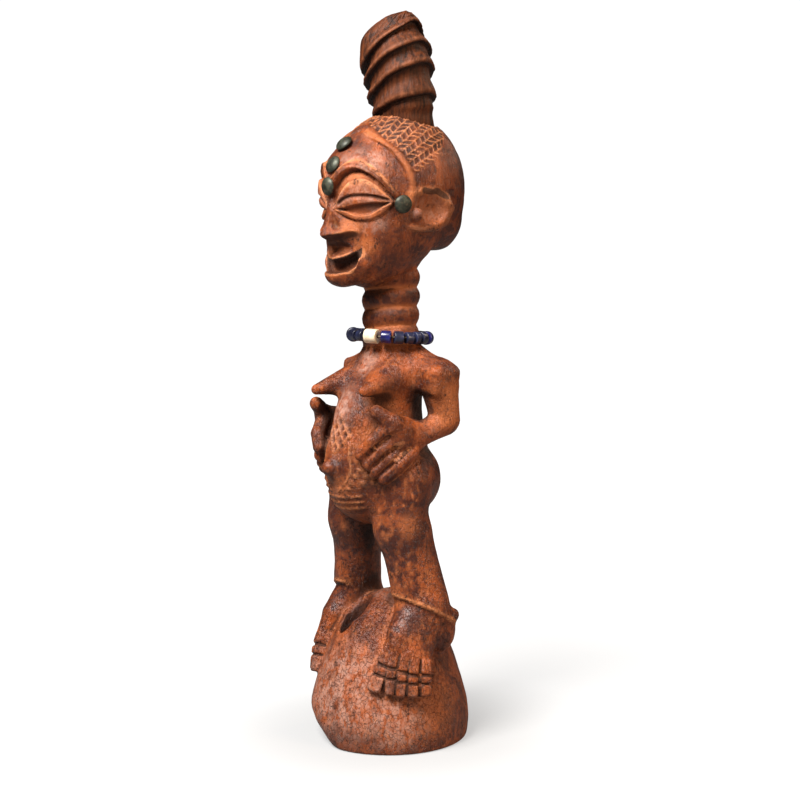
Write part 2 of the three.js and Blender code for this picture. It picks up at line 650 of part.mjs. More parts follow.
function figureGeometry() {
  const rough = largest(wrap(woodForm, LATTICE_LOW, LATTICE_HIGH, LATTICE_STEP));
  const fine = settle(woodForm, thin(rough, FIGURE_FACES));
  const level = 0.2;
  fine.points.forEach((p) => {
    if (Math.abs(p[2] - UNDERSIDE) < level) p[2] = UNDERSIDE;
  });
  return toGeometry(fine);
}

addMesh('carved_figure', figureGeometry(), wood);

// The horn is drawn as a round form with slanting ribs. Each rib is the lower rim of a cup that
// overhangs the one below it, and is tipped up toward the right front. The top bends over a little.
const HORN_CROWN = 72.5;
const RIB_HEIGHTS = [11.5, 25.5, 37.5, 48];
const RIB_OUT = 1.8;
const RIB_IN = 0.8;
const RIB_LEAN = new THREE.Vector2(1.262, 0.244);
const CROWN_BEND = 0.042;
const BEND_FROM = 54;
const HORN_SIDES = 20;
const HORN_BEVEL = 1.8;
const hornRadius = line([[0, HORN_FOOT_RADIUS], [7, HORN_FOOT_RADIUS], [10, 20.1], [13, 20.6], [20, 21.2],
  [28, 21.9], [36, 22.5], [44, 22.9], [50, 22.4], [54, 21.2], [58, 18.9], [62, 15.9], [66, 12.4], [70, 7.6],
  [HORN_CROWN, 0]]);
const hornTip = line([[0, 0], [4, 2.8], [11.5, 6.6], [25.5, 10.9], [37.5, 12.2], [48, 14], [60, 7.1],
  [HORN_CROWN, 0]]);

// Rings of [how far the skin stands out from the plain horn, height before it is tipped].
function hornRings() {
  const rings = [[0, 4]];
  RIB_HEIGHTS.forEach((low, rib) => {
    const next = RIB_HEIGHTS[rib + 1] ?? 60;
    rings.push([-RIB_IN, low - RIB_IN], [RIB_OUT, low], [RIB_OUT - 0.4, mix(low, next, 0.35)]);
  });
  return [...rings, [0, 60], [0, 66], [0, 70]];
}

function hornGeometry() {
  const foot = SEAT_FLOOR + TOUCH_GAP - HORN_FOOT;
  const inner = HORN_FOOT_RADIUS - HORN_BEVEL;
  const rings = hornRings();
  const outline = [[0, foot], [inner, foot], [HORN_FOOT_RADIUS, foot + HORN_BEVEL],
    ...rings.map(([out, height]) => [hornRadius(height) + out, height]), [0, HORN_CROWN]];
  const lathe = new THREE.LatheGeometry(outline.map(([r, t]) => new THREE.Vector2(r, t)), HORN_SIDES);
  const closed = closeUp(lathe.rotateX(Math.PI / 2));
  const place = closed.getAttribute('position');
  const drift = HORN_AXIS_HIGH.clone().sub(HORN_AXIS_LOW).divideScalar(HORN_TALL);
  const bendWay = new THREE.Vector3(RIB_LEAN.x, RIB_LEAN.y, 0).normalize();
  for (let i = 0; i < place.count; i += 1) {
    const point = new THREE.Vector3().fromBufferAttribute(place, i);
    const height = point.z;
    const out = new THREE.Vector2(point.x, point.y);
    const ring = rings.find(([, t]) => Math.abs(t - height) < 1e-4);
    if (ring) out.normalize();
    const along = ring ? height + hornTip(height) * RIB_LEAN.dot(out) : height;
    if (ring) out.multiplyScalar(hornRadius(along) + ring[0]);
    const bend = CROWN_BEND * Math.max(along - BEND_FROM, 0) ** 2;
    point.set(out.x, out.y, 0).add(HORN_AXIS_LOW);
    point.addScaledVector(drift, along).addScaledVector(bendWay, bend);
    place.setXYZ(i, point.x, point.y, point.z);
  }
  return closed;
}

addMesh('crown_horn', hornGeometry(), hornMaterial);

// Domed metal tacks: three up the middle of the forehead and one at each temple. Their heads
// are thin domes, a little hollow underneath, that stand just off the wood.
const TACK_TALL = 3.2;
const TACK_DISH = 0.7;
const TACK_GAP = 0.65;
const TACK_SIDES = 12;
const TACK_SPOTS = {
  forehead_tack_top: [0, -40.3, 402.4],
  forehead_tack_middle: [0, -50.2, 387.5],
  forehead_tack_low: [0, -51.9, 371.8],
  temple_tack_left: [34.6, -18, 360.6],
  temple_tack_right: [-34.6, -18, 360.6],
};

function tackGeometry() {
  const outline = [[0, TACK_DISH], [4.6, 0.3], [TACK_RADIUS - 0.2, 0], [TACK_RADIUS, 0.5], [5.1, 1.7],
    [3.2, 2.7], [0, TACK_TALL]];
  const lathe = new THREE.LatheGeometry(outline.map(([r, t]) => new THREE.Vector2(r, t)), TACK_SIDES);
  return closeUp(lathe.rotateX(Math.PI / 2));
}

// The direction straight out of the head at a spot, averaged over the width of a tack.
function outOf(form, [x, y, z]) {
  const wide = 5;
  return new THREE.Vector3(
    form(x + wide, y, z) - form(x - wide, y, z),
    form(x, y + wide, z) - form(x, y - wide, z),
    form(x, y, z + wide) - form(x, y, z - wide),
  ).normalize();
}

// How far out of a spot a tack has to stand for all its underside to clear the carved wood.
function clearance(spot, out) {
  const aside = new THREE.Vector3(0, 0, 1).cross(out).normalize();
  const up = out.clone().cross(aside);
  const [deepest, highest, step] = [-4, 6, 0.05];
  const underside = [[0, TACK_DISH], [3, 0.4], [4.6, 0.3], [TACK_RADIUS, 0]];
  const clear = (offset) => underside.every(([radius, dish]) => (
    Array.from({ length: TACK_SIDES }, (_, i) => 2 * Math.PI * i / TACK_SIDES).every((angle) => {
      const p = new THREE.Vector3(...spot).addScaledVector(out, offset + dish)
        .addScaledVector(aside, radius * Math.cos(angle)).addScaledVector(up, radius * Math.sin(angle));
      return woodForm(p.x, p.y, p.z) >= TACK_GAP;
    })));
  let offset = deepest;
  while (!clear(offset) && offset < highest) offset += step;
  return offset;
}

const smoothHead = bothSides(skullForm());
for (const [name, spot] of Object.entries(TACK_SPOTS)) {
  const out = outOf(smoothHead, spot);
  const tack = addMesh(name, tackGeometry(), tackMetal);
  tack.quaternion.setFromUnitVectors(new THREE.Vector3(0, 0, 1), out);
  tack.position.set(...spot).addScaledVector(out, clearance(spot, out));
}

// The string of glass beads lies on the slopes of the shoulders, a little higher in front.
const NECKLACE_CENTRE = new THREE.Vector3(-0.5, 1.5, 272.2);
const NECKLACE_TILT = { pitch: -3.8, roll: 0.3 };
const BORE_RADIUS = 1.1;
const STRING_RADIUS = 0.6;
const FIRST_BEAD_ANGLE = -50;
const BEAD_SIDES = 9;
const BEAD_KINDS = {
  large_blue: { length: 9.4, radius: 4.9, end: 2.9, material: slateGlass },
  cobalt: { length: 6.9, radius: 4.2, end: 2.6, material: cobaltGlass },
  cobalt_ball: { length: 8.2, radius: 4.6, end: 2.7, material: cobaltGlass },
  blue_tube: { length: 6, radius: 4, end: 3.2, material: slateGlass },
  slate_tube: { length: 6.1, radius: 4.2, end: 3.4, material: slateGlass },
  small_tube: { length: 5, radius: 3.9, end: 3.1, material: slateGlass },
  cream_tube: { length: 8.8, radius: 4.8, end: 3.9, material: creamGlass },
  grey_ring: { length: 3.6, radius: 4.2, end: 3.5, material: slateGlass },
  white_ring: { length: 3.3, radius: 4.5, end: 3.7, material: creamGlass },
};
const BEAD_ORDER = ['large_blue', 'blue_tube', 'small_tube', 'cream_tube', 'cobalt', 'slate_tube',
  'small_tube', 'grey_ring', 'slate_tube', 'cobalt_ball', 'white_ring', 'slate_tube', 'cobalt',
  'blue_tube', 'cobalt', 'slate_tube', 'cream_tube', 'blue_tube', 'cobalt'];

function beadGeometry({ length, radius, end }) {
  const half = length / 2;
  const shoulder = half - 0.6 * (radius - end);
  const outline = [[BORE_RADIUS, -half], [end, -half], [radius, -shoulder], [radius, shoulder], [end, half],
    [BORE_RADIUS, half], [BORE_RADIUS, -half]];
  return closeUp(new THREE.LatheGeometry(outline.map(([r, t]) => new THREE.Vector2(r, t)), BEAD_SIDES));
}

// Half the angle that a straight bead takes up on the ring: its inner end corner is what counts.
function halfAngle({ length, end }) {
  return Math.atan(length / 2 / (NECKLACE_RADIUS - end));
}

// The string runs straight through each bore and bends in the gaps.
function stringGeometry(middles) {
  const sides = 5;
  const position = [];
  const index = [];
  middles.forEach((angle, i) => {
    const next = middles[(i + 1) % middles.length] + (i + 1 === middles.length ? 2 * Math.PI : 0);
    const bend = (angle + next) / 2;
    for (let s = 0; s < sides; s += 1) {
      const turn = 2 * Math.PI * s / sides;
      const r = NECKLACE_RADIUS / Math.cos((next - angle) / 4) + STRING_RADIUS * Math.cos(turn);
      position.push(Math.sin(bend) * r, -Math.cos(bend) * r, STRING_RADIUS * Math.sin(turn));
      const here = i * sides;
      const beyond = ((i + 1) % middles.length) * sides;
      const [a, b] = [s, (s + 1) % sides];
      index.push(here + a, beyond + a, here + b, here + b, beyond + a, beyond + b);
    }
  });
  const geometry = new THREE.BufferGeometry();
  geometry.setAttribute('position', new THREE.Float32BufferAttribute(position, 3));
  geometry.setIndex(index);
  return geometry;
}

const ring = new THREE.Group();
ring.position.copy(NECKLACE_CENTRE);
ring.rotation.x = THREE.MathUtils.degToRad(NECKLACE_TILT.pitch);
ring.rotation.y = THREE.MathUtils.degToRad(-NECKLACE_TILT.roll);
figureGroup.add(ring);

const taken = BEAD_ORDER.reduce((sum, kind) => sum + 2 * halfAngle(BEAD_KINDS[kind]), 0);
const space = (2 * Math.PI - taken) / BEAD_ORDER.length;
let reached = THREE.MathUtils.degToRad(FIRST_BEAD_ANGLE);
const beadAngles = BEAD_ORDER.map((kind, index) => {
  const half = halfAngle(BEAD_KINDS[kind]);
  const angle = reached + half;
  reached += 2 * half + space;
  const name = `bead_${String(index + 1).padStart(2, '0')}_${kind}`;
  const bead = addMesh(name, beadGeometry(BEAD_KINDS[kind]), BEAD_KINDS[kind].material, ring);
  bead.position.set(Math.sin(angle) * NECKLACE_RADIUS, -Math.cos(angle) * NECKLACE_RADIUS, 0);
  bead.rotation.z = angle - Math.PI / 2;
  return angle;
});
addMesh('necklace_string', stringGeometry(beadAngles), stringFibre, ring);

export default figureGroup;
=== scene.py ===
"""A standing wooden figure with a horn on its crown, metal tacks and a string of glass beads."""
import math

import bmesh
import bpy
import numpy as np
from mathutils import Matrix, Vector, noise


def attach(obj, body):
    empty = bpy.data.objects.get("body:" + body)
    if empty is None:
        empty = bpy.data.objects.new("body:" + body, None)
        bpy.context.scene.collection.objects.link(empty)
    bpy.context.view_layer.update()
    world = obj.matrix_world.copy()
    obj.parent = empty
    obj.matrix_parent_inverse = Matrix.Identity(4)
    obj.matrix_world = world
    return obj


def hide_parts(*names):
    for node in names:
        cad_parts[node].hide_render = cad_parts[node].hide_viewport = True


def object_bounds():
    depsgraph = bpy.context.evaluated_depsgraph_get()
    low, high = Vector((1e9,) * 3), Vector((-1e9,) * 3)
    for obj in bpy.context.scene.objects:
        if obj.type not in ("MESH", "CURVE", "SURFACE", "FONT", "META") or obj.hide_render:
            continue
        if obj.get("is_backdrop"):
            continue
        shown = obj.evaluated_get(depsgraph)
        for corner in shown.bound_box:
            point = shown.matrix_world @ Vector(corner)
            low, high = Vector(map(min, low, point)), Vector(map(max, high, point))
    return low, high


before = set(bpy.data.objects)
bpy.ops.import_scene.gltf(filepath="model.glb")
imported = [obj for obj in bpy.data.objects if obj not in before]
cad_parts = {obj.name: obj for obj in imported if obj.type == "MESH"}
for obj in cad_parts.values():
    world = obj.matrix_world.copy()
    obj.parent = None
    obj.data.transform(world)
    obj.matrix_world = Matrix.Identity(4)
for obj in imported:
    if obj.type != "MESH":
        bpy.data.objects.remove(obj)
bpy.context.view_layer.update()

# The base. One block of wood carries the whole figure; its foot is a heavy dome, hewn round with
# an adze. The front right edge is chipped to a slope, and a hollow is cut in beside one foot.
# All of the carving is worked in millimetres, from a level a little above the underside.
UNDERSIDE = -1.5
FAR_OFF = 40.0


def mix(a, b, t):
    return a + (b - a) * t


def rise(t, low, high):
    s = np.clip((t - low) / (high - low), 0.0, 1.0)
    return s * s * (3 - 2 * s)


def window(t, low, low_full, high_full, high):
    """A share that comes in between two values and goes out between two more."""
    return rise(t, low, low_full) * (1 - rise(t, high_full, high))


def swell(t):
    return np.clip(1 - t * t, 0.0, 1.0) ** 2


def soft_min(a, b, soft):
    h = np.clip(0.5 + 0.5 * (b - a) / soft, 0.0, 1.0)
    return mix(b, a, h) - soft * h * (1 - h)


def join(soft, first, *others):
    for other in others:
        first = soft_min(first, other, soft)
    return first


def cut(soft, body, tool):
    return -soft_min(-body, tool, soft)


def line(t, stations):
    """A smooth line through stations (t, value)."""
    ts, vs = np.array(stations, float).T
    slope = np.gradient(vs, ts)
    i = np.clip(np.searchsorted(ts, t) - 1, 0, len(ts) - 2)
    w = ts[i + 1] - ts[i]
    s = np.clip((t - ts[i]) / w, 0.0, 1.0)
    r = 1 - s
    values = (1 + 2 * s) * r * r * vs[i] + s * s * (3 - 2 * s) * vs[i + 1]
    return values + s * r * w * (r * slope[i] - s * slope[i + 1])


def turned(p, centre, yaw=0.0, pitch=0.0, roll=0.0):
    q = p - np.array(centre, float)
    for angle, i, j in ((yaw, 0, 1), (pitch, 1, 2), (roll, 2, 0)):
        if angle:
            c, s = math.cos(math.radians(angle)), math.sin(math.radians(angle))
            a, b = q[:, i].copy(), q[:, j].copy()
            q[:, i], q[:, j] = c * a + s * b, c * b - s * a
    return q


def egg(p, centre, radii, **turns):
    q = turned(p, centre, **turns)
    r = np.array(radii, float)
    k = np.linalg.norm(q / r, axis=1)
    g = np.linalg.norm(q / r**2, axis=1)
    return np.where(g > 1e-9, k * (k - 1) / np.maximum(g, 1e-9), -r.min())


def limb(p, a, b, radius_a, radius_b):
    a, b = np.array(a, float), np.array(b, float)
    h = np.clip((p - a) @ (b - a) / ((b - a) @ (b - a)), 0.0, 1.0)
    return np.linalg.norm(p - a - h[:, None] * (b - a), axis=1) - mix(radius_a, radius_b, h)


def column(p, slices):
    """A standing form from oval slices: height, centre y, half width, half depth."""
    st = np.array(slices, float)
    z = np.clip(p[:, 2], st[0, 0], st[-1, 0])
    cy, rx, ry = (line(z, st[:, (0, i)]) for i in (1, 2, 3))
    x, y = p[:, 0], p[:, 1] - cy
    k = np.hypot(x / rx, y / ry)
    g = np.hypot(x / rx**2, y / ry**2)
    side = np.where(g > 1e-9, k * (k - 1) / np.maximum(g, 1e-9), -np.minimum(rx, ry))
    return np.maximum(side, np.maximum(st[0, 0] - p[:, 2], p[:, 2] - st[-1, 0]))


def below(p, point, direction):
    return (p - np.array(point)) @ np.array(direction)


def both_sides(p):
    return np.column_stack((np.abs(p[:, 0]), p[:, 1:]))


def between(p, low, high, form):
    """A form that is worked out only between two heights, and is far off elsewhere."""
    near = (p[:, 2] > low) & (p[:, 2] < high)
    d = np.full(len(p), FAR_OFF)
    if near.any():
        d[near] = form(p[near])
    return d


SKIRT_RADII = ((-20, 50), (-2, 53), (6, 54.2), (12, 54.4), (20, 53.7), (28, 51.7), (36, 49), (44, 46),
               (55, 41.2), (66, 35.5), (78, 28))
HOLLOW = ((-10, -21.5, 86), (9.5, 13.5, 26))


def base_form(p):
    skirt = column(p, [(height, 0, radius, radius) for height, radius in SKIRT_RADII])
    dome = egg(p, (0, 0, 20), (46.5, 46.5, 78))
    whole = join(10, join(10, skirt, dome), egg(p, (4, 8, 80), (22, 22, 16.5)))
    chipped = cut(6, whole, below(p, (-31.2, -37.2, 10.1), (0.46, 0.55, 0.69)))
    flat = cut(2, chipped, below(p, (0, 0, UNDERSIDE), (0, 0, 1)))
    return cut(4, flat, egg(p, *HOLLOW))


# The feet. Each is spread over the slope of the dome, with an angular ankle bone behind. The five
# toes are square columns cut in three rows of blocks, with deep straight grooves between them. Each
# row below is a toe: its root, knuckle, tip and half width.
TOES = (
    ((34.5, -25, 70), (32.5, -32, 58), (30.5, -36.3, 44.5), 4.6),
    ((37, -24, 70), (38, -29.5, 56.5), (38.2, -31, 43), 3.1),
    ((41, -20, 67), (43, -25, 54), (43.2, -26.8, 41.5), 3.2),
    ((44.5, -15.5, 65), (47.5, -20.5, 52), (48.8, -21.7, 41), 3.3),
    ((47.5, -10, 61), (51, -13, 51), (53, -14.3, 40.5), 3.6),
)
TOE_AXIS = (0.0, 0.0, 30.0)
TOE_HALF_THICK = 6.3
TOE_BLOCK_GAP = 1.4
TOE_BLOCK_EDGE = 1.0


def slab(p, a, b, half_width, half_thick, edge):
    """A bar with a square section from a to b, lying flat on the dome."""
    a, b = np.array(a, float), np.array(b, float)
    along = (b - a) / np.linalg.norm(b - a)
    out = (a + b) / 2 - np.array(TOE_AXIS)
    out -= along * (out @ along)
    out /= np.linalg.norm(out)
    across = np.cross(along, out)
    q = np.abs((p - (a + b) / 2) @ np.column_stack((along, across, out)))
    q -= np.array((np.linalg.norm(b - a) / 2, half_width, half_thick)) - edge
    return np.linalg.norm(np.maximum(q, 0), axis=1) + np.minimum(q.max(axis=1), 0) - edge


def foot_form(q):
    fan = [limb(q, (34, -1, 86), root, 13.5, 5.5) for root, *_ in TOES]
    instep = limb(q, (34, -3, 93), (35, -19, 79), 12.5, 8.5)
    spread = join(6, egg(q, (35, 8, 82), (14, 14, 17)), *fan, instep)
    spread = join(8, spread, egg(q, (36, 12, 74), (11, 12, 14)))
    spread = join(3, spread, limb(q, (38, 13.5, 87), (43, 19.5, 86), 7, 4.6))
    toes = []
    for root, knuckle, tip, wide in TOES:
        root, knuckle, tip = (np.array(v, float) for v in (root, knuckle, tip))
        cuts = (root, knuckle, mix(knuckle, tip, 0.46), tip + (tip - knuckle) * 0.3)
        for a, b in zip(cuts, cuts[1:]):
            step = (b - a) / np.linalg.norm(b - a) * TOE_BLOCK_GAP / 2
            toes.append(slab(q, a + step, b - step, wide, TOE_HALF_THICK, TOE_BLOCK_EDGE))
    return join(0.7, spread, *toes)


# The legs, of the same block. They are short and bent a little at the knee, and heavy in the
# thigh, with the buttocks rounded behind.
def leg_form(q):
    thigh = limb(q, (22, -7.5, 178), (24, -11, 147), 22, 17)
    shin = limb(q, (25, -10.5, 147), (31.5, -3, 96), 15.5, 14)
    calf = limb(q, (27, -2, 142), (36, 5.5, 96), 12, 13)
    return join(8, thigh, shin, calf, egg(q, (17.5, 9.5, 177), (16.5, 16.5, 21)))


# The trunk: a deep column with a full belly, square shoulders that slope up to the neck, pointed
# breasts and a boss for the navel.
def trunk_form(p):
    q = both_sides(p)
    trunk = column(p, ((165, -3, 25, 24), (195, -9.5, 27, 34), (210, -9.5, 26, 33.5), (225, -8.5, 25.5, 31),
                       (235, -6.5, 26, 28), (245, -3, 27.5, 24.5), (258, 1, 25, 20), (268, 2, 18, 16)))
    belly = egg(p, (0, -11, 180), (28, 36.5, 34))
    yoke = np.abs(turned(q, (20, 10, 249), roll=9)) - (25, 7, 5)
    shoulder = np.linalg.norm(np.maximum(yoke, 0), axis=1) + np.minimum(yoke.max(axis=1), 0) - 5
    slope = limb(q, (12, 7, 263.8), (34, 12, 253.5), 6.5, 5)
    breast = join(7, limb(p, (17, -14, 245.5), (25.7, -42, 239.5), 11.5, 3.6),
                  limb(p, (-17, -14, 243.5), (-25.7, -42, 237), 11.5, 3.6))
    navel = limb(p, (0, -42, 187), (0, -50.5, 187.5), 10, 5.6)
    chest = join(8, join(10, join(14, trunk, belly), shoulder), slope)
    return join(6, join(7, chest, breast), navel)


# The arms and hands. The forearms come forward from square elbows, and the hands lie on the belly
# with raised thumbs and straight fingers that end along one slanting edge. Each row below is a
# finger: its root, knuckle and tip.
FINGERS = (
    ((34.3, -29.8, 215.5), (29.1, -38.3, 206.7), (22.3, -42.5, 198.2)),
    ((35.3, -23, 209.3), (31.8, -32.7, 201.1), (25.8, -39, 192.2)),
    ((35.8, -16.2, 202.6), (34, -27.6, 195), (28.3, -34.6, 186.6)),
    ((38.3, -11.9, 199.3), (37.5, -23.3, 190.7), (31.5, -30.5, 182.5)),
)
BACKS_OF_FINGERS = (0.76, -0.64, 0.11)
GROOVE_LIFT = 4.2


def arm_form(q):
    upper = limb(q, (36.5, 12, 246), (38.5, 16.5, 219), 13.3, 10)
    fore = limb(q, (38.5, 15.5, 216), (35, -4, 209), 8.8, 8)
    palm = egg(q, (34.5, -14.6, 208), (8, 16, 12), yaw=10, pitch=-32)
    fingers = [join(1, limb(q, root, knuckle, 4.9, 4.6), limb(q, knuckle, tip, 4.6, 4.2))
               for root, knuckle, tip in FINGERS]
    hand = join(0.7, palm, *fingers)
    away = np.array(BACKS_OF_FINGERS) * GROOVE_LIFT
    for finger, following in zip(np.array(FINGERS), np.array(FINGERS)[1:]):
        root, knuckle, tip = (finger + following) / 2 + away
        hand = cut(0.5, cut(0.5, hand, limb(q, root, knuckle, 1.4, 1.9)), limb(q, knuckle, tip, 1.9, 1.9))
    under_tips = [limb(q, a[2], b[2], 2.6, 2.6) for a, b in zip(FINGERS, FINGERS[1:])]
    hand = join(0.8, hand, *under_tips)
    ball = limb(q, (34.5, -10, 213), (37, -27, 219), 7, 6)
    thumb = join(2, ball, limb(q, (37, -27, 219), (32, -37, 226.5), 5.8, 4.7))
    return join(5, join(3, upper, fore), join(4, hand, thumb))


# The neck, of the same block, is carved as a stack of soft rings, like rolls of flesh. The rings
# rise a little toward the figure's left.
RING_HEIGHT = 12.6
LOWEST_RING = 266
RING_SLANT = 0.12


def ring_number(p):
    return (p[:, 2] - RING_SLANT * p[:, 0] - LOWEST_RING) / RING_HEIGHT


def neck_form(p):
    core = column(p, ((255, 2, 18.6, 18.6), (275, 1.5, 18, 18), (305, 2, 18, 18), (330, 3.6, 17, 16.4)))
    return core - (2.4 * np.abs(np.sin(ring_number(p) * np.pi)) ** 0.8 - 1)


# The head: a long oval with a flat nape, drawn on a chart of the angle round it from the nose and
# the height. The large lidded eyes lie in hollows under raised brows; the coiffure has a border.
HEAD_AXIS_Y = 5.0


def chart_angle(q):
    return np.degrees(np.arctan2(q[:, 0], HEAD_AXIS_Y - q[:, 1]))


def skull_form(p):
    skull = join(6, egg(p, (0, 7.6, 371), (38.5, 47.6, 50)), egg(p, (0, -1.5, 374), (37, 48, 34.5)))
    face = join(14, skull, egg(p, (0, -13, 343), (31, 32.5, 38), pitch=-4))
    jaw = join(10, face, egg(p, (0, -27, 323), (17, 22, 12), pitch=12))
    whole = join(8, jaw, egg(p, (0, -41, 314.5), (10, 9, 7.5)), egg(p, (0, 27.5, 349), (28, 26.5, 23)))
    return cut(3, whole, np.maximum(p[:, 2] - 329.5, 20 - p[:, 1]))


def brow_rim(a):
    return line(a, ((-2, 365), (3, 371), (10, 379.5), (18, 382.8), (28, 380.5), (40, 373), (51, 362.5),
                    (56, 358)))


def eye_lines(a):
    """Heights of the lid's top and foot, its crease, and the slit's top and foot."""
    return (line(a, ((3, 357.5), (5, 361), (12, 371), (23, 377), (34, 374), (44, 366.5), (50, 362))),
            line(a, ((3, 357.5), (5, 356), (15, 351.5), (27, 350), (38, 353), (46, 358.5), (50, 361.5))),
            line(a, ((3, 358), (12, 364), (26, 366.3), (40, 364.5), (50, 362))),
            line(a, ((3, 357.3), (9.7, 357.3), (20, 359.6), (30, 361), (45, 361.5), (50, 361.7))),
            line(a, ((3, 357.2), (9.7, 356.6), (20, 353.6), (30, 354), (45, 360.5), (50, 361.6))))


def eye_zones(q):
    """Shares of recess, fall of the recess, lid, way up the lid, crease and slit over the face."""
    a, z = chart_angle(q), q[:, 2]
    rim = brow_rim(a)
    top, low, crease, slit_top, slit_low = eye_lines(a)
    inside = window(a, 0.5, 5, 48, 53) * rise(z, 335, 345)
    recess = inside * rise(rim - z, -1.3, 1.3) * rise(z, low - 4, low + 2)
    fall = np.clip((z - top) / np.maximum(rim - top, 2), 0, 1)
    lid = inside * window(z, low - 0.8, low + 0.8, top - 1.1, top + 1.1)
    width = inside * window(a, 4, 9, 43, 49)
    fold = width * window(z, crease - 3.2, crease, crease + 0.2, crease + 1.1)
    slit = width * np.clip(z - slit_low + 0.5, 0, 1) * np.clip(slit_top - z + 0.5, 0, 1)
    across = np.clip((z - low) / np.maximum(top - low, 0.5), 0, 1)
    return recess, fall, lid, across, fold, slit


def eye_relief(q):
    recess, fall, lid, across, fold, slit = eye_zones(q)
    full = 1.8 + 2.6 * np.sqrt(np.maximum(across * (1 - across), 0))
    return lid * full - recess * (1.2 + 3.0 * fall) - 1.7 * fold - 2.4 * slit


def brow_relief(q):
    a, z = chart_angle(q), q[:, 2]
    ends = window(a, -3, 3, 50, 55) * rise(z, 335, 345)
    rim = brow_rim(a)
    top = rim + line(a, ((-2, 9), (3, 7), (10, 5.5), (56, 5.5)))
    band = 1.5 * window(z, rim - 1.0, rim + 1.3, top - 0.8, top + 1.4)
    return ends * (band + 0.8 * swell((z - top) / 1.4))


def behind_hairline(q):
    """How far a point lies behind the front edge of the coiffure, along the head."""
    a, z = chart_angle(q), q[:, 2]
    high = line(a, ((0, 409), (10, 406.5), (25, 403), (38, 399), (50, 392), (60, 382), (90, 366)))
    side = line(z, ((335, 62), (345, 62), (358, 62.5), (368, 63.5), (378, 62), (388, 55), (399, 38),
                    (405, 14), (420, -60)))
    reach = np.maximum(np.hypot(q[:, 0], q[:, 1] - HEAD_AXIS_Y), 10)
    from_side = np.radians(a - side) * reach
    return 0.8 * mix(z - high, from_side, np.clip((a - 30) / 25, 0, 1))


def hair_relief(q):
    behind = behind_hairline(q)
    proud = rise(q[:, 2], 352, 362) * mix(0.4, 1, rise(chart_angle(q), 10, 45))
    return proud * (1.2 * rise(behind, -1.5, 0.5) + 1.1 * swell((behind - 1.8) / 3.4))


# The ear is a dish with a rolled rim, open to the front, where a small knob stands. A short slot
# is cut underneath it.
EAR_RIM = (
    (36.6, -12.5, 367.2), (40.0, -3, 369.3), (40.4, 8, 368.6), (39.4, 17, 364.6), (38.0, 21.8, 357.5),
    (36.8, 17.4, 349.8), (36.8, 8.5, 345.8), (36.2, -1, 344.4), (33.5, -9, 345.5),
)
EAR_RIM_RADIUS = 2.3
EAR_TURN = {"yaw": -6, "pitch": -8}


def ear_rim_form(q, radius):
    return [limb(q, a, b, radius, radius) for a, b in zip(EAR_RIM, EAR_RIM[1:])]


def with_ear(d, q):
    d = cut(1, join(1, d, egg(q, (35.3, 5, 357), (5.4, 18, 14.5), **EAR_TURN)),
            egg(q, (42.4, 4, 357.3), (7.6, 15, 10.5), **EAR_TURN))
    rim = join(0.8, *ear_rim_form(q, EAR_RIM_RADIUS))
    d = join(1.2, join(0.8, d, rim), egg(q, (37.2, -7.5, 353.5), (4, 4.2, 4.6)))
    return cut(1, d, egg(q, (38.5, 3, 340.3), (5, 9, 1.7), **EAR_TURN))


def head_form(p):
    q = both_sides(p)
    carved = skull_form(p) - eye_relief(q) - brow_relief(q) - hair_relief(q)
    nose = join(5, limb(p, (0, -44, 372), (0, -50.6, 343), 3.2, 3.4),
                limb(q, (0, -52.4, 339.4), (14, -42, 340.3), 4.2, 4.6))
    nose = join(4, nose, limb(q, (1, -47, 357), (11, -43, 344), 2.6, 4.0))
    nose = cut(0.7, nose, -below(q, (0, -55.4, 338.6), (0.451, -0.351, -0.821)))
    d = cut(1.5, join(2.5, carved, nose), egg(q, (5, -47, 331.5), (9, 6.5, 4.2), yaw=20))
    d = join(4, d, egg(q, (0, -33.6, 322.5), (21, 11.5, 10.5)))
    return with_ear(d, q)


MOUTH_HEIGHTS = (300, 345)
MOUTH_HALF_WIDTH = 17.6


def mouth_form(p):
    x, y, z = both_sides(p).T
    upper = line(x, ((0, 324), (7, 325.2), (14, 328.6), (18, 331.2)))
    lower = line(x, ((0, 315.3), (7, 316), (14, 319.8), (18, 327)))
    back = line(x, ((0, -40), (7, -39), (14, -35), (18, -32)))
    return np.maximum(np.maximum(0.9 * np.maximum(z - upper, lower - z), y - back), x - MOUTH_HALF_WIDTH)


# The seat for the horn is a round hole sunk in the crown. It leans forward as the horn does, and
# leaves a little room round the horn's foot.
HORN_LOW = np.array((1.2, 13.6, 414.0))
HORN_HIGH = np.array((-1.8, 1.6, 488.0))
HORN_FOOT_RADIUS = 19.0
SEAT_FLOOR = 409.5
SEAT_ROOM = 0.6


def seat_form(p):
    along = (HORN_HIGH - HORN_LOW) / np.linalg.norm(HORN_HIGH - HORN_LOW)
    q = p - HORN_LOW
    off = np.linalg.norm(q - (q @ along)[:, None] * along, axis=1)
    return np.maximum(off - HORN_FOOT_RADIUS - SEAT_ROOM, SEAT_FLOOR - p[:, 2])


def figure_form(p):
    q = both_sides(p)
    lower = join(2.5, between(p, -60, 130, base_form), between(q, 10, 130, foot_form))
    lower = join(4, lower, between(q, 60, 225, leg_form))
    body = join(5, lower, between(p, 120, 305, trunk_form))
    body = join(3, body, between(q, 145, 290, arm_form), between(p, 235, 350, neck_form))
    whole = join(2.5, body, between(p, 285, 450, head_form))
    whole = cut(1, whole, between(p, *MOUTH_HEIGHTS, mouth_form))
    return np.maximum(np.maximum(whole, -seat_form(p)), UNDERSIDE - p[:, 2])


# The surface of the carving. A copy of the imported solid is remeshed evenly, each point is settled
# on the carved form, and the mesh is made finer where the carving is fine: face, hair, hands, feet.
GRAIN_STEP = 0.0029


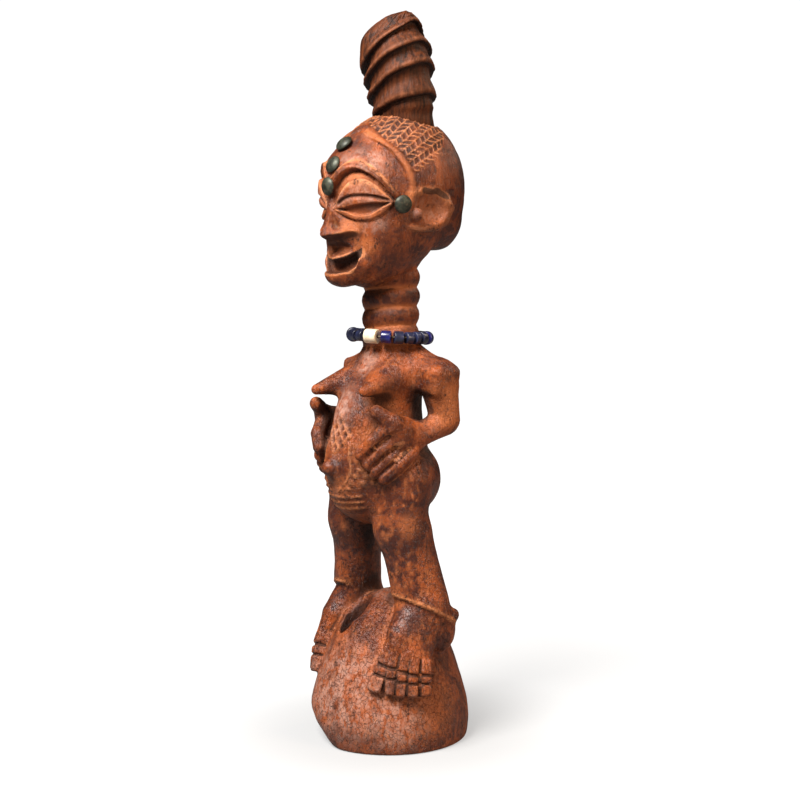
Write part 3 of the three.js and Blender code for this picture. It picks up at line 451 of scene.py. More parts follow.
def settled(points, rounds, reach=1.2, probe=0.05):
    for _ in range(rounds):
        d = figure_form(points)
        slope = np.column_stack([figure_form(points + probe * e) - d for e in np.eye(3)]) / probe
        steep = np.maximum((slope**2).sum(1), 0.25)
        points = points - (np.clip(d, -reach, reach) / steep)[:, None] * slope
    return points, slope / np.linalg.norm(slope, axis=1)[:, None]


def to_mm(mesh):
    co = np.empty(len(mesh.vertices) * 3)
    mesh.vertices.foreach_get("co", co)
    return co.reshape(-1, 3) * 1000 + (0, 0, UNDERSIDE)


def to_metres(points):
    return (points - (0, 0, UNDERSIDE)) / 1000


def wanted_edge(p):
    """The length of edge that the carving needs at each point."""
    q = both_sides(p)
    a, z, y = chart_angle(q), p[:, 2], p[:, 1]
    head = (z > 300) & (z < 425)
    ankle = (q[:, 0] > 27) & (y < 14) & (np.abs(0.485 * y + 0.875 * z - 79.6) < 3.5)
    eye = head & (a < 58) & (z > 347) & (z < 388)
    mouth = head & (y < -24) & (z > 308) & (z < 346)
    hair = head & (behind_hairline(q) > -1) & (y - 1.08 * (z - 389) < 12) & (z > 375)
    ear = head & (a > 60) & (a < 140) & (z > 337) & (z < 376) & (q[:, 0] > 28)
    hand = (z > 165) & (z < 230) & (y < -8) & (q[:, 0] > 12)
    belly = (z > 157) & (z < 224) & (y < -28) & (q[:, 0] < 24)
    toes = (z > 35) & (z < 82) & (y < 0) & (q[:, 0] > 22)
    edge = np.full(len(p), 4.2)
    edge[head] = 2.4
    edge[hand | toes | belly | ankle] = 1.5
    edge[hair | ear] = 1.05
    edge[eye | mouth] = 0.76
    return edge


def edge_ends(mesh):
    ends = np.empty(len(mesh.edges) * 2, int)
    mesh.edges.foreach_get("vertices", ends)
    return ends[::2], ends[1::2]


BENT_EDGE = 1.1
SHARP_BEND = 0.84


def refined(mesh, rounds):
    """Splits the edges that are too long for the carving, or that go round too sharp a bend."""
    for _ in range(rounds):
        points, normals = settled(to_mm(mesh), 1)
        a, b = edge_ends(mesh)
        length = np.linalg.norm(points[a] - points[b], axis=1)
        bend = (normals[a] * normals[b]).sum(1)
        long = length > wanted_edge((points[a] + points[b]) / 2)
        long |= (length > BENT_EDGE) & (bend < SHARP_BEND)
        mesh.vertices.foreach_set("co", to_metres(points).ravel())
        bm = bmesh.new()
        bm.from_mesh(mesh)
        bm.edges.ensure_lookup_table()
        split = [bm.edges[i] for i in np.flatnonzero(long)]
        bmesh.ops.subdivide_edges(bm, edges=split, cuts=1, use_grid_fill=True)
        bmesh.ops.triangulate(bm, faces=[f for f in bm.faces if len(f.verts) > 4])
        for _ in range(2):
            bmesh.ops.smooth_vert(bm, verts=bm.verts, factor=0.5,
                                  use_axis_x=True, use_axis_y=True, use_axis_z=True)
        bm.to_mesh(mesh)
        bm.free()


def in_scene(name, data):
    made = bpy.data.objects.new(name, data)
    bpy.context.scene.collection.objects.link(made)
    return made


def remeshed(node, step):
    """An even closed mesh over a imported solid."""
    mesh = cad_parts[node].data.copy()
    bm = bmesh.new()
    bm.from_mesh(mesh)
    bmesh.ops.remove_doubles(bm, verts=bm.verts, dist=1e-6)
    bm.to_mesh(mesh)
    bm.free()
    mesh.materials.clear()
    rough = in_scene("rough", mesh)
    voxels = rough.modifiers.new("Remesh", "REMESH")
    voxels.mode = "VOXEL"
    voxels.voxel_size = step
    graph = bpy.context.evaluated_depsgraph_get()
    made = bpy.data.meshes.new_from_object(rough.evaluated_get(graph))
    bpy.data.objects.remove(rough)
    return made


carving_mesh = remeshed("carved_figure", GRAIN_STEP)
carving_mesh.name = "carving"
even = settled(to_mm(carving_mesh), 3)[0]
carving_mesh.vertices.foreach_set("co", to_metres(even).ravel())
refined(carving_mesh, 3)
surface = settled(to_mm(carving_mesh), 2)[0]


def evened(mesh, points, share, rounds):
    """Draws points toward the middle of their neighbours, where the share says so."""
    a, b = edge_ends(mesh)
    count = np.bincount(np.concatenate((a, b)), minlength=len(points))[:, None]
    for _ in range(rounds):
        total = np.zeros_like(points)
        np.add.at(total, a, points[b])
        np.add.at(total, b, points[a])
        points = mix(points, total / np.maximum(count, 1), share[:, None])
    return points


x, y, z = surface.T
lips = rise(-y, 26, 30) * window(z, 309, 312, 334, 337)
ear_tops = rise(np.abs(x), 33, 35) * window(z, 360, 363, 373, 376)
surface = evened(carving_mesh, surface, 0.6 * lips, 3)
surface = evened(carving_mesh, surface, 0.7 * ear_tops, 14)
outward = settled(surface, 1)[1]


# Hollows and edges, found by stepping off the surface along its normal: in a hollow the way out is
# short, and at an edge the way in is. They steer the wear and the painted shade in hollows, and are
# kept as attributes.
def closed_in(step):
    """How short the way is a step off the surface: outward, or inward for a step below zero."""
    return np.clip(1 - figure_form(surface + outward * step) / step, 0, 1)


in_crease = closed_in(step=2.0)
in_fold = closed_in(step=8.0)
in_shadow = closed_in(step=22.0)
sharp_edge = closed_in(step=-1.6)


# The cuts made last. The coiffure is chipped in a herringbone: long slanting ridges with short
# ones between them, upright in one row and level in the next.
ROW_WIDTH = 4.2
STROKE_SPACING = 5.0
STROKE_HALF_WIDTH = 0.62


def herringbone(p, normals):
    """Shares of ridge, and of chipped ground, over the coiffure."""
    q = both_sides(p)
    y, z = q[:, 1], q[:, 2]
    wobble = 0.25 * np.sin(0.45 * y + 0.31 * z) + 0.2 * np.sin(0.8 * z - 0.5 * y)
    bearing = np.degrees(np.arctan2(q[:, 0], z - 371))
    row = (63.5 - bearing - 0.68 * y) / 6.9 + 0.12 * wobble
    number = np.floor(row)
    along = (y - 0.306 * bearing) / 1.1 + wobble
    down = (number + 1 - row) * ROW_WIDTH
    spine = swell(np.minimum(down, ROW_WIDTH - down) / STROKE_HALF_WIDTH)
    upright = number % 2 == 0
    stroke_at = np.where(upright, along + 0.58 * down, along - 1.43 * down + 1.7) / STROKE_SPACING
    off = np.abs(stroke_at - np.round(stroke_at)) * STROKE_SPACING / np.where(upright, 1.16, 1.74)
    stroke = swell(off / STROKE_HALF_WIDTH)
    zone = rise(behind_hairline(q), 4.0, 5.0) * rise(9.7 + 1.1 * (z - 389) - y, 0, 2)
    zone *= (z > 372) & (normals[:, 2] > -0.2)
    body = zone * rise(row, -0.12, 0.02)
    barbs = zone * (row < 0) * rise(row, -0.95, -0.8) * stroke
    return np.maximum(np.maximum(spine, stroke) * body, barbs), body


ridges, chipped_hair = herringbone(surface, outward)
lift = -0.8 * chipped_hair * (1 - ridges) + 0.35 * ridges * (1 - chipped_hair)


# Raised scars on the belly: a lattice of lozenges over the navel, a panel with a pointed foot, a
# patch of scales beside each hand, and three long welts below. All are carved in the block.
def belly_scars(p, normals):
    x, y, z = np.abs(p[:, 0]), p[:, 1], p[:, 2]
    front = rise(-y, 18, 24) * (normals[:, 1] < 0.1)
    field = rise(1.12 - x / 11.5 - np.abs(z - 209.5) / 13.5, 0, 0.12) * front
    a, b = (p[:, 0] / 6.2 + z / 8.2), (p[:, 0] / 6.2 - z / 8.2)
    mesh = np.minimum(np.abs(a - np.round(a)), np.abs(b - np.round(b)))
    lattice = field * (1 - rise(mesh, 0.09, 0.2))
    pits = field * rise(mesh, 0.14, 0.32)
    side = line(z, ((170, 1.5), (178, 9.5), (187, 13.6), (197, 12), (204, 11)))
    border = swell(x - side) * window(z, 170, 171.5, 202, 205) * front
    scale_zone = rise(x - side, 0.8, 2.2) * rise(z, 170.5 + 0.25 * x - 1, 171.5 + 0.25 * x) * front
    scale_zone *= (1 - rise(z, 187, 190)) * (1 - rise(x, 27, 30))
    u, v = (x + 0.62 * (z - 170)) / 5.4, (0.8 * (z - 170) - 0.5 * x) / 5.0
    v = v + 0.5 * (np.floor(u) % 2)
    cell = np.hypot(u - np.floor(u) - 0.5, v - np.floor(v) - 0.5)
    scales = scale_zone * swell(cell / 0.62)
    welts = np.zeros(len(p))
    for level in (168.0, 164.0, 160.0):
        height = level + 0.0055 * np.minimum(x, 18) ** 2
        welts = np.maximum(welts, swell((z - height) / 1.25) * (1 - rise(x, 15.5, 18.5)) * front)
    high = np.maximum.reduce((lattice * 0.9, border, scales * 0.8, welts))
    return high, 0.6 * lattice - 1.3 * pits + 0.9 * border + 1.3 * scales + 0.95 * welts, pits


scars, scar_lift, scar_pits = belly_scars(surface, outward)
lift += scar_lift


# Marks of the knife and adze: shallow chips, longer than wide, in flocks on the thighs, the shins,
# the upper arms and the dome. Fresh wood shows in them. Each row below is a flock: its middle, its
# spread, the number of chips, a seed, a chip's half width and length, and its lean.
def scattered(count, seed):
    """Evenly spread pairs of numbers from 0 to 1, the same on each run."""
    n = np.arange(1, count + 1) + seed
    return np.column_stack(((n * 0.7548776662) % 1.0, (n * 0.5698402910) % 1.0))


def chips(p, centre, spread, count, seed, size, tilt):
    """Chips round a centre, on a patch that is seen from outside the body."""
    middle = np.array(centre, float)
    out = middle - (0, 0, middle[2])
    out /= np.linalg.norm(out)
    across = np.cross((0, 0, 1), out)
    d = p - middle
    u, v = d @ across, d[:, 2]
    near = (d @ out > -14) & (np.hypot(u / spread[0], v / spread[1]) < 1.5)
    total = np.zeros(len(p))
    for k, (s, t) in enumerate(scattered(count, seed)):
        cu, cv = (s - 0.5) * 2 * spread[0], (t - 0.5) * 2 * spread[1]
        lean = math.radians(tilt + 26 * math.sin(2.4 * k + seed))
        du, dv = u[near] - cu, v[near] - cv
        along = du * math.sin(lean) + dv * math.cos(lean)
        aside = du * math.cos(lean) - dv * math.sin(lean)
        grow = 0.6 + 0.8 * ((k * 0.618) % 1.0)
        chip = swell(np.hypot(along / (size[1] * grow), aside / (size[0] * grow)))
        total[near] = np.maximum(total[near], chip)
    return total


CHIP_PATCHES = (
    ((43, -12, 170), (9, 13), 12, 3, (1.0, 4.2), 8),
    ((30, -30, 150), (10, 16), 12, 11, (1.1, 3.6), -12),
    ((40, -14, 112), (14, 13), 26, 23, (1.1, 3.0), 20),
    ((36, -26, 135), (12, 14), 10, 31, (1.0, 3.8), 10),
    ((52, 14, 240), (9, 12), 8, 41, (1.2, 4.0), 5),
    ((-30, -30, 150), (12, 20), 14, 53, (1.1, 3.6), 12),
    ((20, -50, 40), (24, 26), 22, 61, (1.0, 2.6), 0),
    ((50, -20, 25), (24, 20), 18, 71, (1.0, 3.0), 10),
    ((-10, 40, 180), (26, 30), 26, 83, (1.2, 4.0), 0),
    ((0, 45, 60), (36, 34), 30, 97, (1.2, 3.4), 10),
)
cuts = np.zeros(len(surface))
for patch in CHIP_PATCHES:
    cuts = np.maximum(cuts, chips(surface, *patch))
lift -= 0.45 * cuts

# The ankles are marked off by a raised line across the foot, with a step below it. The surface as a
# whole is a little uneven, as a knife leaves it.
mirrored = both_sides(surface)
x, y, z = mirrored.T
over_ankle = mirrored @ (0.014, 0.485, 0.875) - 80.1
at_ankle = rise(x, 20, 27) * (z > 70) * (1 - rise(y, 14, 22))
above_step = rise(over_ankle, -0.7, 0.5)
ankle_ridge = at_ankle * above_step * (1 - rise(over_ankle, 1.2, 3.2))
lift += at_ankle * (1.5 * above_step * (1 - rise(over_ankle, 2, 15))
                    - 0.9 * rise(over_ankle, -9, -0.7) * (1 - above_step))

unevenness = np.array([noise.noise(Vector(v) / 11) + 0.45 * noise.noise(Vector(v) / 4.2) for v in surface])
fine_work = np.clip(chipped_hair + scars, 0, 1)
lift += 0.28 * unevenness * (1 - 0.6 * fine_work)
on_ground = rise(z, UNDERSIDE + 0.5, UNDERSIDE + 4)
finished = surface + outward * (lift * on_ground)[:, None]
finished[:, 2] = np.maximum(finished[:, 2], UNDERSIDE)
carving_mesh.vertices.foreach_set("co", to_metres(finished).ravel())

# How the surface has aged: polished dark where it was held, orange under red powder in the recesses,
# stained nearly black in some places and rubbed bare in others. Painted shade is laid in with the
# stains, and a painted sheen with the dust. Each row below is such a place: its middle, its reach and
# its strength.
# Most rows are stains; the rows on the far leg, under the nose and along the foot of the dome are painted
# shade.
STAINS_AND_SHADE = (
    ((0, -36, 395), (22, 18, 12), 0.7), ((30, -28, 340), (9, 12, 12), 0.7),
    ((12, 50, 370), (56, 46, 60), 1.0), ((26, -18, 325), (16, 20, 14), 0.75),
    ((0, -40, 236), (15, 18, 22), 0.9), ((34, -6, 240), (10, 12, 12), 0.5),
    ((38, -16, 165), (16, 22, 26), 0.9), ((-38, -16, 165), (16, 22, 26), 0.75),
    ((39, -18, 88), (14, 16, 12), 0.95), ((-39, -18, 88), (14, 16, 12), 0.8),
    ((30, -22, 138), (16, 18, 20), 0.85), ((-24, -18, 140), (18, 24, 30), 0.85),
    ((34, -12, 112), (12, 14, 14), 0.55), ((0, -50, 187), (9, 9, 9), 0.9),
    ((0, 30, 190), (46, 24, 50), 0.6), ((34, -24, 206), (10, 14, 10), 0.55),
    ((36, 14, 176), (18, 20, 20), 0.6), ((0, 0, 90), (18, 30, 14), 0.5),
    ((0, 4, 292), (24, 24, 26), 0.8), ((50, 6, 24), (18, 20, 22), 0.1),
    ((6, -50, 334), (13, 8, 4.5), 0.9), ((-10, 50, 30), (40, 20, 30), 0.5),
    ((30, -24, 252), (10, 10, 12), 0.7), ((-4, -50, 4), (50, 22, 10), 0.5),
)
# Dusted places; on the dome's front, the forehead, the chest and the belly the dust is a painted sheen as
# well.
DUST_AND_SHEEN_PLACES = (
    ((6, -44, 36), (46, 26, 34), 0.85), ((44, -30, 22), (22, 24, 24), 0.7),
    ((16, -34, 386), (20, 14, 10), 0.8), ((2, -22, 257), (10, 11, 10), 0.9),
    ((-4, -40, 222), (12, 16, 24), 0.95), ((40, 2, 214), (8, 14, 8), 0.2),
    ((26, -34, 350), (12, 10, 9), 0.6), ((36, 0, 357), (8, 16, 12), 0.6),
    ((30, -36, 52), (16, 10, 14), 0.45), ((0, 0, 100), (16, 16, 8), 0.5),
    ((0, -52, 170), (14, 8, 9), 0.4),
)
RUBBED = (
    ((15, -45, 346), (8, 9, 9), 0.9), ((22, -38, 333), (7, 9, 7), 0.6),
    ((48, 10, 230), (13, 18, 18), 0.9), ((26, -26, 230), (11, 14, 14), 0.7),
    ((5, -46, 176), (9, 9, 9), 0.6), ((0, -44, 160), (16, 12, 7), 0.6),
    ((44, -20, 150), (8, 12, 10), 0.5), ((50, -2, 28), (16, 20, 24), 0.4),
    ((30, -12, 100), (10, 10, 8), 0.6),
)


def laid_on(places):
    share = np.zeros(len(surface))
    for middle, size, amount in places:
        away = np.linalg.norm((surface - np.array(middle)) / np.array(size), axis=1)
        share = np.maximum(share, amount * (1 - rise(away, 0.4, 1.3)))
    return share


rubbed = laid_on(RUBBED)
stain_and_shade = laid_on(STAINS_AND_SHADE) * (1 - rubbed)
angle = chart_angle(mirrored)
recess, fall, lid, up_lid, fold, slit = eye_zones(mirrored)
border_band = rise(z, 356, 364) * swell((behind_hairline(mirrored) - 1.6) / 2.6) * (angle > 12)
ear_dish = swell(np.linalg.norm((mirrored - (37, 7, 357.5)) / (9, 17, 13), axis=1) ** 2 * 0.8)
ring = ring_number(surface)
neck_groove = swell((ring - np.round(ring)) / 0.26) * window(z, 262, 266, 306, 312)
neck_groove *= np.hypot(x, y - 2) < 23
fresh = np.maximum.reduce((
    0.75 * recess * (1 - 0.75 * lid), 0.75 * border_band, 0.5 * ear_dish, 0.9 * cuts, 0.95 * neck_groove,
    ankle_ridge, rubbed, 0.7 * lid * (1 - rise(up_lid, 0.1, 0.3)),
))
crackled = 1 - 0.7 * rise(z, 120, 300)
# Dust and painted sheen: the places above, and the upper part of each lid.
dust_and_sheen = np.maximum(laid_on(DUST_AND_SHEEN_PLACES), 0.6 * lid * (1 - slit) * rise(up_lid, 0.3, 0.5))
brow_arris = swell((z - brow_rim(angle) - 5.6) / 1.6) * window(angle, 2, 8, 48, 54) * (y < 0) * (z > 350)
on_ear_rim = swell(np.minimum.reduce(ear_rim_form(mirrored, 0)) / 4.2)
bare = np.maximum.reduce((
    lid * window(up_lid, 0.8, 0.93, 0.97, 1.0), 0.8 * ankle_ridge, 0.6 * on_ear_rim, 0.9 * brow_arris,
))
# Painted shade: near-black inside the mouth, under the brows, inside the hollow of the base, under the nose,
# in the eye slits and in the creases of the lids.
in_mouth = (between(surface, *MOUTH_HEIGHTS, mouth_form) < 0.9) * rise(z, 310, 326)
under_brow = recess * (1 - lid) * rise(fall, 0.6, 0.97)
depth_in_hollow = -egg(surface, *HOLLOW)
in_hollow = rise(depth_in_hollow, -1.5, 1.0) * (z > 56)
under_nose = rise(-outward[:, 2], 0.1, 0.5) * rise(-y, 38, 42) * window(z, 331, 334, 341, 344)
under_nose *= 1 - rise(x, 17, 20)
deep_shade = np.maximum.reduce((
    0.8 * slit * rise(up_lid, 0.0, 0.45), 0.7 * fold, in_mouth, 0.75 * under_brow, in_hollow,
    0.75 * under_nose,
))
sharp_edge *= 1 - rise(depth_in_hollow, -5, -3)


def keep_on(mesh, shares):
    """Stores shares as attributes of a mesh, for its material to read."""
    for name, values in shares.items():
        layer = mesh.attributes.new(name, "FLOAT", "POINT")
        layer.data.foreach_set("value", np.ascontiguousarray(values, np.float32))


# The wear, and the masks for the painted shade, kept for the material.
WEAR_AND_SHADE = {
    "hollow": in_crease, "shelter": in_fold, "shadow": in_shadow, "edge": sharp_edge,
    "strokes": ridges, "chipped": chipped_hair, "scars": scars, "pits": scar_pits, "stain_and_shade": stain_and_shade,
    "fresh": fresh, "deep_shade": deep_shade, "dust_and_sheen": dust_and_sheen, "bare": bare, "crackled": crackled,
}
keep_on(carving_mesh, WEAR_AND_SHADE)
carving_mesh.polygons.foreach_set("use_smooth", np.ones(len(carving_mesh.polygons), bool))
carving_mesh.update()
carving = in_scene("carving", carving_mesh)


# The wood's finish. Node groups give the grain and the mottling, and the material lays the worn brown,
# the purple-brown polish, the orange of the recesses, the dark stain, a painted sheen and painted shade
# over each other.
def node(tree, kind, **settings):
    """Adds a node. Inputs are given by name or number, as values or as sockets to link."""
    made = tree.nodes.new(kind)
    inputs = settings.pop("inputs", {})
    for key, value in settings.items():
        setattr(made, key, value)
    for key, value in inputs.items():
        socket = made.inputs[key]
        if isinstance(value, bpy.types.NodeSocket):
            tree.links.new(value, socket)
        else:
            socket.default_value = value
    return made


def tree_of(*values):
    """The tree that the first socket among some values belongs to."""
    return next(value.id_data for value in values if isinstance(value, bpy.types.NodeSocket))


def maths(operation, *values, clamp=False):
    return node(tree_of(*values), "ShaderNodeMath", operation=operation, use_clamp=clamp,
                inputs=dict(enumerate(values))).outputs[0]


def folded(operation, values):
    result = values[0]
    for value in values[1:]:
        result = maths(operation, result, value)
    return result


def product(*values):
    return folded("MULTIPLY", values)


def total(*values):
    return folded("ADD", values)


def greatest(*values):
    return folded("MAXIMUM", values)


def inverse(value, strength=1.0):
    return maths("SUBTRACT", 1.0, product(value, strength))


def blended(share, first, second):
    """Two colours laid over each other by a share."""
    return node(tree_of(share, first, second), "ShaderNodeMix", data_type="RGBA",
                inputs={0: share, 6: first, 7: second}).outputs[2]


def ranged(value, low, high, to_low=0.0, to_high=1.0):
    return node(value.id_data, "ShaderNodeMapRange", interpolation_type="SMOOTHSTEP",
                inputs={0: value, 1: low, 2: high, 3: to_low, 4: to_high}).outputs[0]


def noise_at(place, scale, detail, roughness=0.5, distortion=0.0):
    return node(place.id_data, "ShaderNodeTexNoise", inputs={
        "Vector": place, "Scale": scale, "Detail": detail, "Roughness": roughness,
        "Distortion": distortion}).outputs


def kept(tree, name):
    return node(tree, "ShaderNodeAttribute", attribute_name=name).outputs["Fac"]


def new_group(name, numbers, results):
    """A node group that is given a place and some numbers, with their usual values."""
    group = bpy.data.node_groups.new(name, "ShaderNodeTree")
    group.interface.new_socket("Place", in_out="INPUT", socket_type="NodeSocketVector")
    for label, usual in numbers.items():
        socket = group.interface.new_socket(label, in_out="INPUT", socket_type="NodeSocketFloat")
        socket.default_value = usual
    for label in results:
        group.interface.new_socket(label, in_out="OUTPUT", socket_type="NodeSocketFloat")
    return group, group.nodes.new("NodeGroupInput").outputs, group.nodes.new("NodeGroupOutput").inputs


def grain_group():
    """Long fibres: a streaky noise stretched along Z, with a finer one across it."""
    group, given, result = new_group("long_fibres", {"Stretch": 9.0, "Scale": 260.0}, ("Streaks", "Fibre"))
    shorter = maths("DIVIDE", 1.0, given["Stretch"])
    squeeze = node(group, "ShaderNodeCombineXYZ", inputs={0: 1.0, 1: 1.0, 2: shorter}).outputs[0]
    place = node(group, "ShaderNodeVectorMath", operation="MULTIPLY",
                 inputs={0: given["Place"], 1: squeeze}).outputs[0]
    streaks = noise_at(place, given["Scale"], 5.0, 0.62)
    fibre = noise_at(place, product(given["Scale"], 4.0), 3.0, 0.6)
    group.links.new(streaks["Fac"], result["Streaks"])
    group.links.new(fibre["Fac"], result["Fibre"])
    return group


def mottle_group():
    """Patches at two sizes and a fine speckle, for handled and powdered surfaces."""
    group, given, result = new_group("mottling", {"Scale": 60.0}, ("Patches", "Blotches", "Speckle"))
    sizes = {"Patches": (1.0, 4.0, 0.55, 0.6), "Blotches": (3.4, 5.0, 0.6, 0.4),
             "Speckle": (14.0, 3.0, 0.7, 0.0)}
    for label, (factor, detail, rough, warp) in sizes.items():
        made = noise_at(given["Place"], product(given["Scale"], factor), detail, rough, warp)
        group.links.new(made["Fac"], result[label])
    return group


def crackle_group():
    """Fine dark lines of a dried, crackled skin, broken up so that only parts of the net show."""
    group, given, result = new_group("crackle", {"Scale": 200.0}, ("Lines",))
    bend = noise_at(given["Place"], given["Scale"], 3.0)
    push = node(group, "ShaderNodeVectorMath", operation="SCALE",
                inputs={0: bend["Color"], "Scale": 0.0045}).outputs[0]
    moved = node(group, "ShaderNodeVectorMath", operation="ADD",
                 inputs={0: given["Place"], 1: push}).outputs[0]
    cells = node(group, "ShaderNodeTexVoronoi", feature="DISTANCE_TO_EDGE",
                 inputs={"Vector": moved, "Scale": given["Scale"]}).outputs
    lines = product(ranged(cells["Distance"], 0.0, 0.075, 1.0, 0.0), ranged(bend["Fac"], 0.38, 0.52))
    group.links.new(lines, result["Lines"])
    return group


LONG_FIBRES, MOTTLING, CRACKLE = grain_group(), mottle_group(), crackle_group()


def placed(group, place, **numbers):
    return node(place.id_data, "ShaderNodeGroup", node_tree=group, inputs={"Place": place, **numbers}).outputs


def new_material(name):
    made = bpy.data.materials.new(name)
    made.use_nodes = True
    tree = made.node_tree
    tree.nodes.clear()
    shader = tree.nodes.new("ShaderNodeBsdfPrincipled")
    out = tree.nodes.new("ShaderNodeOutputMaterial")
    tree.links.new(shader.outputs[0], out.inputs[0])
    return made, shader.inputs, node(tree, "ShaderNodeTexCoord").outputs["Object"]


def finished_with(shader, colour, rough, strength, distance, height):
    """Links a material's colour, roughness and bump."""
    tree = colour.id_data
    bump = node(tree, "ShaderNodeBump", inputs={"Strength": strength, "Distance": distance, "Height": height})
    for name, socket in {"Base Color": colour, "Roughness": rough, "Normal": bump.outputs[0]}.items():
        tree.links.new(socket, shader[name])


ORANGE = (0.45, 0.128, 0.037, 1)
BARE_EDGE = (0.64, 0.235, 0.092, 1)
WARM_BROWN = (0.31, 0.068, 0.015, 1)
RED_BROWN = (0.135, 0.027, 0.006, 1)
POLISHED = (0.058, 0.013, 0.007, 1)
# Pink, for dust and for a painted sheen.
DUST_AND_SHEEN_PINK = (0.44, 0.23, 0.17, 1)
# Near-black, for painted shade and for dirt.
GRIME_AND_SHADE_BLACK = (0.010, 0.003, 0.0015, 1)
GRAIN_DEPTH = 0.0013

wood, shader, place = new_material("handled_wood")
mark = {name: kept(wood.node_tree, name) for name in WEAR_AND_SHADE}
fibres = placed(LONG_FIBRES, place, Stretch=4.0, Scale=330.0)
smears = placed(LONG_FIBRES, place, Stretch=2.0, Scale=75.0)
mottle = placed(MOTTLING, place, Scale=42.0)
crackle = placed(CRACKLE, place, Scale=330.0)
patches = ranged(mottle["Patches"], 0.46, 0.55)
blotches = ranged(mottle["Blotches"], 0.42, 0.6)
smear = ranged(smears["Streaks"], 0.42, 0.6)
colour = blended(smear, WARM_BROWN, RED_BROWN)
streaked = product(ranged(fibres["Streaks"], 0.5, 0.66), inverse(mark["stain_and_shade"], 0.8), 0.45)
colour = blended(streaked, colour, ORANGE)
polish = maths("ADD", product(patches, inverse(mark["dust_and_sheen"]), 0.75), mark["stain_and_shade"], clamp=True)
polish = maths("MULTIPLY", polish, maths("SUBTRACT", 1.1, product(blotches, 0.55)), clamp=True)
colour = blended(polish, colour, POLISHED)
# Dust, with a painted pink sheen on the lit places.
dust_and_sheen_colour = blended(ranged(smears["Fibre"], 0.36, 0.54), WARM_BROWN, DUST_AND_SHEEN_PINK)
colour = blended(product(mark["dust_and_sheen"], inverse(blotches, 0.6)), colour, dust_and_sheen_colour)
sheltered = ranged(mark["shelter"], 0.25, 0.65)
powder = product(sheltered, inverse(blotches, 0.6), inverse(mark["stain_and_shade"], 0.6), 0.5)
fresh_wood = greatest(product(mark["fresh"], inverse(smear, 0.3)), powder)
colour = blended(fresh_wood, colour, ORANGE)
worn = greatest(product(ranged(mark["edge"], 0.22, 0.55), 0.6), product(mark["strokes"], 0.9),
                product(mark["scars"], 0.65), mark["bare"])
colour = blended(product(worn, inverse(blotches, 0.5)), colour, BARE_EDGE)
flecks = product(ranged(smears["Fibre"], 0.55, 0.66), inverse(mark["stain_and_shade"], 0.5), 0.38)
colour = blended(flecks, colour, ORANGE)
lines = product(crackle["Lines"], mark["crackled"])
# Near-black laid over: painted shade in creases, in the deep places, in the scar pits, on the chipped ground
# of the coiffure and in recesses; real dirt in the crackle, the blotches and the flecks.
grime_and_shade = greatest(
    product(ranged(mark["hollow"], 0.35, 0.8), 0.8),
    product(mark["deep_shade"], 0.92),
    product(mark["pits"], 0.75),
    product(mark["chipped"], inverse(mark["strokes"]), 0.62),
    product(lines, inverse(mark["fresh"], 0.7), 0.5),
    product(ranged(mark["shadow"], 0.62, 0.92), 0.75),
    product(ranged(mottle["Blotches"], 0.56, 0.68), ranged(fibres["Fibre"], 0.4, 0.55), 0.9),
    product(ranged(mottle["Speckle"], 0.55, 0.7), ranged(smears["Streaks"], 0.45, 0.58), 0.7))
colour = blended(grime_and_shade, colour, GRIME_AND_SHADE_BLACK)
rough = total(0.25, product(fibres["Streaks"], 0.22), product(greatest(fresh_wood, mark["dust_and_sheen"]), 0.2))
rough = maths("ADD", rough, product(grime_and_shade, 0.25), clamp=True)
height = total(product(fibres["Streaks"], 0.8), product(fibres["Fibre"], 0.3),
               product(mottle["Blotches"], 0.7))
height = product(maths("SUBTRACT", height, product(lines, 0.4)), inverse(mark["stain_and_shade"], 0.6))
finished_with(shader, colour, rough, 1.0, GRAIN_DEPTH, height)
shader["Specular IOR Level"].default_value = 0.38
carving_mesh.materials.append(wood)
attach(carving, "root")
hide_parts("carved_figure")

# The horn of an animal, ribbed in stacked cups. Each cup's lower rim overhangs the one below, and
# all lean to one side. Fine fibres run up it, and its foot stands in the seat in the crown.
RIB_HEIGHTS = (11.5, 25.5, 37.5, 48)
RIB_LIP = ((-1.6, -1.5), (-0.6, -1.6), (1.4, -1.3), (2.3, -0.4), (2.3, 0.7))
RIB_FALL, TOP_RIB_FALL = 3.6, 2.2
PLAIN_ABOVE = 62
HORN_TOP = 72.5
HORN_SIDES = 128
HORN_SPACING = 0.8
HORN_RADII = ((0, 19), (7, 19), (10, 20.1), (13, 20.6), (20, 21.2), (28, 21.9), (36, 22.5), (44, 22.9),
              (50, 22.4), (54, 21.2), (58, 18.9), (62, 15.9), (66, 12.4), (70, 7.6), (HORN_TOP, 0))
RIB_TIPS = ((0, 0), (4, 2.8), (11.5, 6.6), (25.5, 10.9), (37.5, 12.2), (48, 14), (60, 7.1), (HORN_TOP, 0))
RIB_SLANT = (1.262, 0.244)
TIP_BEND = 0.042
TIP_BENDS_FROM = 54
TIP_BEND_WAY = (0.98, 0.19)


def horn_outline():
    """Pairs of how far the skin stands out from the plain horn, and the height before it is tipped."""
    outline = []
    for low, following in zip(RIB_HEIGHTS, (*RIB_HEIGHTS[1:], PLAIN_ABOVE)):
        outline += [(out, low + up) for out, up in RIB_LIP]
        fall = TOP_RIB_FALL if low == RIB_HEIGHTS[-1] else RIB_FALL
        for share in (0.12, 0.2, 0.32, 0.45, 0.6, 0.74, 0.84):
            outline.append((RIB_LIP[-1][0] - fall * rise(share, 0.0, 0.62), mix(low, following, share)))
    return np.array([(0, 2), (0, 6), *outline, (0, 64), (0, 68), (0, 71.5)], float)


